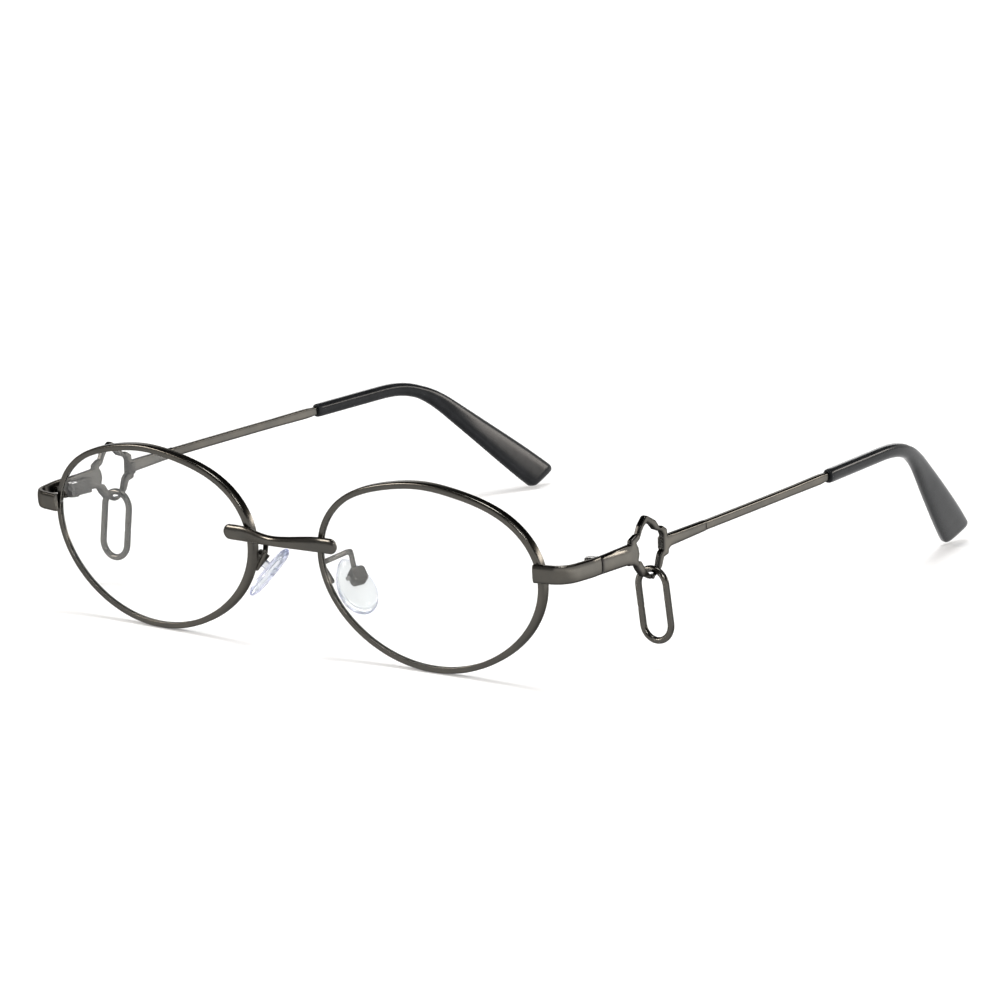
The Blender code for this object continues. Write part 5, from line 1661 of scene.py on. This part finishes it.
@dataclass
class WireLink(SubAssembly):
    """The closed link of round wire that hangs on the ring's lower bar."""

    angle: float = 0.0
    wire_radius: float = 0.64 * MM
    width: float = 7.64 * MM
    length: float = 14.9 * MM
    offset: float = 0.65 * MM
    seat: float = 16.2 * MM
    joint_depth: float = 0.10
    joint_width: float = 0.25 * MM

    def build(self) -> None:
        """Makes the link: two half circles joined by straight sides, with the butt joint's faint groove.

        The groove takes from the radius its depth share times e to minus the squared distance in joint
        widths. The link hangs one gap below the ring's lower bar, lower by the sag of its inner curve there.
        """
        plan = self.layout
        arc = self.width / 2 - self.wire_radius
        turn = np.linspace(0.0, np.pi, 60)
        upper = np.stack([np.cos(turn) * arc, 0 * turn, np.sin(turn) * arc], axis=1)
        drop = self.length - self.width
        side = np.array([0.0, 0.0, -1.0]) * np.linspace(0.0, drop, 30)[1:-1, None]
        lower = -upper + np.array([0.0, 0.0, -drop])
        path = np.concatenate([upper, upper[-1] + side, lower, (upper[0] + side)[::-1]])
        joint = upper[-1] + np.array([0.0, 0.0, -0.55 * drop])
        away = np.linalg.norm(path - joint, axis=1)
        radius = self.wire_radius * (1 - self.joint_depth * np.exp(-((away / self.joint_width) ** 2)))
        link = Shell.wire(path, radius, np.array([0.0, 1.0, 0.0]), closed=True)
        inner = arc - self.wire_radius
        sag = max(plan.casting_thickness - self.offset, self.offset) ** 2 / (2 * inner)
        height = plan.seam[2] - plan.ring_bottom + plan.ring_bar + plan.gap + sag - inner
        pivot = Matrix.Translation((plan.seam[0] - self.offset, plan.seam[1] + self.seat, height))
        link = link.placed(pivot @ Matrix.Rotation(-self.angle, 4, "Y"))
        self.add("wire_link", link, GUNMETAL, "link", "charm_link")


# Nose pads --------------------


@dataclass
class NosePad(SubAssembly):
    """The bent arm on the rim, the box at its end, and the pad that rocks in the box."""

    length: float = 12.2 * MM
    width: float = 7.4 * MM
    thickness: float = 2.3 * MM
    centre: Triple = (10.93 * MM, 9.22 * MM, 12.68 * MM)
    long_axis: Triple = (0.63, -0.18, -0.755)
    outward: Triple = (0.654, -0.393, 0.639)
    box_size: float = 3.1 * MM
    box_depth: float = 2.4 * MM
    box_wall: float = 0.4 * MM
    box_corner: float = 0.75 * MM
    box_rounding: float = 0.5 * MM
    box_lip: float = 0.08 * MM
    stand_off: float = 3.1 * MM
    box_offset: float = 0.7 * MM
    lug_width: float = 1.2 * MM
    lug_length: float = 1.4 * MM
    screw_depth: float = 0.2 * MM
    screw_radius: float = 0.25 * MM
    screw_head: float = 0.42 * MM
    screw_head_height: float = 0.9 * MM
    arm_radius: float = 0.5 * MM
    arm_foot: float = 2.2 * MM
    arm_shoulder: float = 1.0 * MM
    arm_bend: Triple = (-0.6 * MM, -0.2 * MM, 3.0 * MM)
    arm_cut: float = 0.8 * MM

    def frame(self, out: float = 0.0, along: float = 0.0) -> Matrix:
        """The pad's frame: local X across, Y up its length and Z outwards.

        Args:
            out: how far outwards from the pad's centre.
            along: how far up its length.

        Returns:
            The frame as a matrix.
        """
        outward, axis = Vector(self.outward).normalized(), Vector(self.long_axis).normalized()
        across = outward.cross(axis).normalized()
        upward = outward.cross(across).normalized()
        place = Vector(self.centre) + outward * out + upward * along
        return Matrix.Translation(place) @ Matrix((across, upward, outward)).transposed().to_4x4()

    def pad(self) -> Shell:
        """The drop-shaped pad.

        Its outline is an ellipse that narrows upwards by 0.22 and 0.12 of the height share and its square.
        From the middle of one face over the edge to the middle of the other, the outline is scaled by
        |cos|^0.55 of an angle and lies at sin^0.9 of it times half the thickness.

        Returns:
            The pad without its lug.
        """
        turn = np.linspace(-np.pi / 2, np.pi / 2, 72)
        angle = angles(96)
        up = np.sin(angle)
        narrow = 1.0 - 0.22 * up - 0.12 * up * up
        outline = np.stack([np.cos(angle) * narrow * self.width / 2, up * self.length / 2], axis=1)
        scale = np.clip(np.cos(turn), 0.0, 1.0)[1:-1] ** 0.55
        height = np.sign(turn) * np.abs(np.sin(turn)) ** 0.9 * self.thickness / 2
        rings = layered(outline[None] * scale[:, None, None], height[1:-1])
        edge = np.clip((scale - 0.8) / 0.2, 0, 1)
        return Shell.sweep(rings, edge=edge[:, None]).placed(self.frame())

    def lug(self) -> Shell:
        """The pad's clear lug, which stands in the box."""
        reach = self.stand_off + self.box_depth / 2 - self.box_wall - self.layout.gap
        lug = Shell.block((self.lug_width, self.lug_length, reach), 0.15 * MM)
        return lug.placed(self.frame(reach / 2, self.box_offset))

    def box(self) -> Shell:
        """The open box: from the middle of its back over the edges down the walls and into the hollow.

        Returns:
            The box.
        """
        half, wall, deep = self.box_size / 2, self.box_wall, self.box_depth / 2
        outer = rectangle(self.box_size, self.box_size, self.box_corner, 8)
        turn = np.linspace(0.0, np.pi / 2, 7)
        soft, lip = self.box_rounding, self.box_lip
        draw = np.concatenate([soft * (1 - np.sin(turn)), [0.0, lip, wall, wall]])
        level = np.concatenate([deep - soft * (1 - np.cos(turn)), [-deep + lip, -deep, -deep, deep - wall]])
        rings = layered(outer[None] * ((half - draw) / half)[:, None, None], level)
        # painted shade: the rounded edge and the walls get the edge share, so the box's sides are darker
        edge = np.concatenate([0.7 * np.sin(turn), np.full(4, 0.4)])
        return Shell.sweep(rings, edge=edge[:, None]).placed(self.frame(self.stand_off, self.box_offset))

    def arm(self) -> Shell:
        """The bent wire: along the rim's back, over its edge, round a bend with a knob and down to the box.

        Its corners are parabolas between cuts of one length on both sides.

        Returns:
            The arm with its knob.
        """
        plan = self.layout
        end = self.frame(self.stand_off, self.box_offset + self.box_size / 2 + self.arm_radius)
        end = np.array(end.translation)
        line = plan.rim_line(depth=plan.rim_depth)
        nasal = line[line[:, 0] < plan.lens_centre[0]]
        order = nasal[:, 2].argsort()

        def behind_rim(height: float, outside: float) -> Array:
            """A place behind the rim at a height, so far towards the nose."""
            x, y = (float(np.interp(height, nasal[order, 2], nasal[order, i])) for i in (0, 1))
            return np.array([x - outside, y + plan.gap + self.arm_radius, height])

        foot = behind_rim(end[2] - self.arm_foot, -plan.rim_width / 2)
        shoulder = behind_rim(end[2] + self.arm_shoulder, self.arm_radius + plan.gap)
        bend = end + np.array(self.arm_bend)
        guides = np.array([foot, shoulder, bend, end])
        share = np.linspace(0.0, 1.0, 12)[:, None]
        parts = [foot[None] + (guides[1] - foot) * np.linspace(0, 0.5, 6)[:, None]]
        for i in (1, 2):
            here = guides[i]
            start = here + unit(guides[i - 1] - here) * self.arm_cut
            finish = here + unit(guides[i + 1] - here) * self.arm_cut
            parts.append(start * (1 - share) ** 2 + 2 * here * share * (1 - share) + finish * share**2)
        parts.append(bend + (end - bend) * np.linspace(0.6, 1.0, 6)[:, None])
        knob = Shell.block((2.5 * self.arm_radius,) * 3, 1.2 * self.arm_radius)
        knob = knob.moved(parts[2][len(share) // 2])
        return knob + Shell.wire(np.concatenate(parts), self.arm_radius, np.array([0.1, 1.0, 0.35]))

    def build(self) -> None:
        """Makes the arm, box, screw and pad."""
        self.add("arm_wire", self.arm(), GUNMETAL, "front", "pad_arm")
        self.add("pad_cup", self.box(), GUNMETAL, "front", "pad_box")
        reach = self.box_size / 2
        across = self.frame(self.stand_off - self.screw_depth, self.box_offset)
        across = across @ Matrix.Rotation(-math.pi / 2, 4, "Y")
        head = (self.screw_head, self.screw_head_height)
        screw = slotted_screw(self.screw_radius, *head, -reach, reach - 0.1 * MM)
        self.add("cup_screw", screw.placed(across), BRIGHT_STEEL, "front", "pad_screw")
        self.add("pad_body", self.pad() + self.lug(), CLEAR_SILICONE, "pad", "nose_pad")


# Studio --------------------


@dataclass(frozen=True)
class Lamp:
    """A soft panel that looks at the middle of the object."""

    name: str
    azimuth: float
    elevation: float
    distance: float
    size: tuple[float, float]
    power: float
    colour: Triple = (1.0, 1.0, 1.0)

    @property
    def away(self) -> Vector:
        """The direction from the object to the lamp."""
        a, e = math.radians(self.azimuth), math.radians(self.elevation)
        return Vector((math.sin(a) * math.cos(e), -math.cos(a) * math.cos(e), math.sin(e)))


@dataclass
class Studio:
    """Pale floor, white surroundings, dark cards, soft panels and the camera."""

    target: Triple = (0.0, 0.0, 0.015)
    camera_place: Triple = (0.60556, -0.78564, 0.22249)
    camera_azimuth: float = math.radians(37.919)
    camera_elevation: float = math.radians(11.741)
    camera_roll: float = math.radians(-1.133)
    lens: float = 181.3
    sensor: float = 36.0
    clip: tuple[float, float] = (0.01, 50.0)
    floor_half: float = 4.0
    floor_drop: float = 0.05 * MM
    floor_lift: float = 0.15
    floor_far: tuple[float, float] = (0.25, 0.8)
    floor_gloss: tuple[float, float] = (0.76, 1.7)
    floor_gloss_reach: float = 0.09
    bright_way: Triple = (0.62, 0.78, 0.0)
    world_light: float = 0.45
    ceiling_height: float = 1.6
    wall_distance: float = 1.6
    wall_half: float = 1.6
    lamps: list[Lamp] = field(
        default_factory=lambda: [
            Lamp("overhead_key", 0.0, 89.0, 1.3, (0.4, 0.4), 7.5),
            Lamp("front_left_panel", -50.0, 26.0, 1.2, (0.5, 0.26), 5.0, (1.0, 0.93, 0.86)),
            Lamp("back_right_panel", 143.0, 16.0, 1.2, (0.5, 0.2), 3.6, (1.0, 0.93, 0.86)),
            Lamp("right_fill", 104.0, 59.0, 1.2, (0.5, 0.5), 0.5),
            Lamp("back_left_panel", 214.0, 19.0, 1.2, (0.9, 0.36), 2.6),
            Lamp("bevel_light", 41.0, 36.0, 1.2, (0.4, 0.12), 3.0),
        ]
    )

    def camera(self) -> None:
        """Puts the camera at its place, looking down along its azimuth and elevation, with a slight roll."""
        a, e, roll = self.camera_azimuth, self.camera_elevation, self.camera_roll
        forward = Vector((-math.sin(a) * math.cos(e), math.cos(a) * math.cos(e), -math.sin(e)))
        right = Vector((math.cos(a), math.sin(a), 0.0))
        upward = right.cross(forward)
        turned_right = right * math.cos(roll) + upward * math.sin(roll)
        turned_up = upward * math.cos(roll) - right * math.sin(roll)
        data = bpy.data.cameras.new("camera")
        data.lens = self.lens
        data.sensor_width = self.sensor
        data.clip_start, data.clip_end = self.clip
        camera = bpy.data.objects.new("camera", data)
        axes = Matrix((turned_right, turned_up, -forward)).transposed().to_4x4()
        camera.matrix_world = Matrix.Translation(self.camera_place) @ axes
        bpy.context.scene.collection.objects.link(camera)
        bpy.context.scene.camera = camera

    @staticmethod
    def sheet(name: str, corners: Sequence[Triple], material: bpy.types.Material) -> bpy.types.Object:
        """A flat sheet of the studio with four corners.

        Args:
            name: what it is called.
            corners: its four corners in order.
            material: its look.

        Returns:
            The sheet.
        """
        mesh = bpy.data.meshes.new(name)
        mesh.from_pydata(corners, [], [(0, 1, 2, 3)])
        mesh.materials.append(material)
        item = bpy.data.objects.new(name, mesh)
        bpy.context.scene.collection.objects.link(item)
        return item

    def floor(self) -> None:
        """A pale floor that keeps shadows near the object and shows white to the camera and to glass.

        Its own glow goes up to full white with distance. Gloss sees a painted reflection instead: a glow that
        is darker at the front left and brighter at the back right, like a floor under panels.
        """
        material = bpy.data.materials.new("pale_floor")
        recipe = Recipe(material)
        seen = self.seen(recipe)
        grain = recipe.noise(recipe.place(), 0.4, 2.0)
        colour = recipe.blend(grain, (0.84,) * 3, (0.86,) * 3)
        matt = recipe.add("ShaderNodeBsdfDiffuse", sockets={"Color": colour})
        out = recipe.add("ShaderNodeVectorMath", {"operation": "LENGTH"}, {0: recipe.place()}, "Value")
        lift = self.floor_lift + (1 - self.floor_lift) * out.span(*self.floor_far)
        glow = recipe.add("ShaderNodeEmission", sockets={"Strength": seen * lift})
        plain = recipe.add("ShaderNodeAddShader", sockets={0: matt, 1: glow})
        way = {0: recipe.place(), 1: self.bright_way}
        back = recipe.add("ShaderNodeVectorMath", {"operation": "DOT_PRODUCT"}, way, "Value")
        low, high = self.floor_gloss
        back = back.span(0.0, self.floor_gloss_reach)
        # painted reflection: a glow gradient that only gloss sees, in place of the floor lit unevenly by the
        # panels
        painted_floor_reflection = recipe.add("ShaderNodeEmission", sockets={"Strength": low + (high - low) * back})
        gloss_alone = recipe.ray("Glossy") * (1 - recipe.ray("Transmission"))
        recipe.finish(recipe.either(gloss_alone, plain, painted_floor_reflection))
        half = self.floor_half
        corners = [(-half, -half, 0), (half, -half, 0), (half, half, 0), (-half, half, 0)]
        self.sheet("floor", corners, material).location.z = -self.floor_drop

    def cards(self) -> None:
        """A dark ceiling and a dark front-left wall that only gloss sees, for the metal's dark lines."""
        half, height = self.floor_half, self.ceiling_height
        ceiling = [(-half, half, height), (half, half, height), (half, -half, height), (-half, -half, height)]
        x, y, _ = (-self.wall_distance * share for share in self.bright_way)
        along = np.array([-y, x, 0.0]) / self.wall_distance * self.wall_half
        middle = np.array([x, y, 0.0])
        up = np.array([0.0, 0.0, height])
        wall = [tuple(p) for p in (middle - along, middle + along, middle + along + up, middle - along + up)]
        for name, corners, grey in (("dark_ceiling", ceiling, 0.015), ("dark_wall", wall, 0.3)):
            material = bpy.data.materials.new(name)
            recipe = Recipe(material)
            weave = 0.8 + 0.4 * recipe.noise(recipe.place(), 0.05, 2.0)
            cloth = recipe.add("ShaderNodeBsdfDiffuse", sockets={"Color": weave * grey})
            clear = recipe.add("ShaderNodeBsdfTransparent")
            recipe.finish(recipe.either(recipe.ray("Transmission"), cloth, clear))
            card = self.sheet(name, corners, material)
            card.visible_camera = card.visible_diffuse = card.visible_shadow = False
            card.visible_transmission = False

    @staticmethod
    def seen(recipe: Recipe) -> Signal:
        """1 for rays of the camera, of gloss and of glass, and 0 for light."""
        return recipe.ray("Camera").most(recipe.ray("Glossy")).most(recipe.ray("Transmission"))

    def world(self) -> None:
        """White surroundings: full for camera, gloss and glass, and dimmer as light."""
        world = bpy.data.worlds.new("surroundings")
        bpy.context.scene.world = world
        recipe = Recipe(world)
        strength = self.world_light + (1 - self.world_light) * self.seen(recipe)
        glow = recipe.add("ShaderNodeBackground", sockets={"Color": (1, 1, 1, 1), "Strength": strength})
        recipe.add("ShaderNodeOutputWorld", sockets={"Surface": glow})

    def light(self) -> None:
        """Hangs the soft panels round the object, hidden from the camera itself."""
        for lamp in self.lamps:
            data = bpy.data.lights.new(lamp.name, "AREA")
            data.shape = "RECTANGLE"
            data.size, data.size_y = lamp.size
            data.energy = lamp.power
            data.color = lamp.colour
            item = bpy.data.objects.new(lamp.name, data)
            item.location = Vector(self.target) + lamp.away * lamp.distance
            item.rotation_euler = lamp.away.to_track_quat("Z", "Y").to_euler()
            item.visible_camera = False
            bpy.context.scene.collection.objects.link(item)

    def build(self) -> None:
        """Sets up camera, floor, ceiling, surroundings and lamps."""
        bpy.context.scene.view_settings.view_transform = "Standard"
        self.camera()
        self.floor()
        self.cards()
        self.world()
        self.light()


def frame_shift(layout: Layout) -> Array:
    """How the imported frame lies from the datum, read from where the left hinge screw is.

    Args:
        layout: the places from the datum.

    Returns:
        The shift along X, Y and Z.
    """
    low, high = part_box("left_hinge_screw")
    axis = layout.hinge
    reach = 1.5 * Hinge.knuckle_height + layout.gap
    return np.array([0.0, (low.y + high.y) / 2 - axis[1], low.z - (axis[2] - reach)])


def main() -> None:
    """Builds the frame's sub-assemblies in order."""
    logging.basicConfig(level=logging.INFO, format="%(name)s %(message)s")
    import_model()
    layout = Layout()
    shift = frame_shift(layout)
    LOG.info("shift from the datum: %s", shift)
    Bridge(layout, Side.LEFT, shift).build()
    for side, link_angle in ((Side.LEFT, math.radians(8.0)), (Side.RIGHT, math.radians(6.0))):
        EyeWire(layout, side, shift).build()
        EndPiece(layout, side, shift).build()
        Hinge(layout, side, shift).build()
        TempleCasting(layout, side, shift).build()
        TempleArm(layout, side, shift).build()
        WireLink(layout, side, shift, angle=link_angle).build()
        NosePad(layout, side, shift).build()
    Studio().build()


if __name__ == "__main__":
    main()
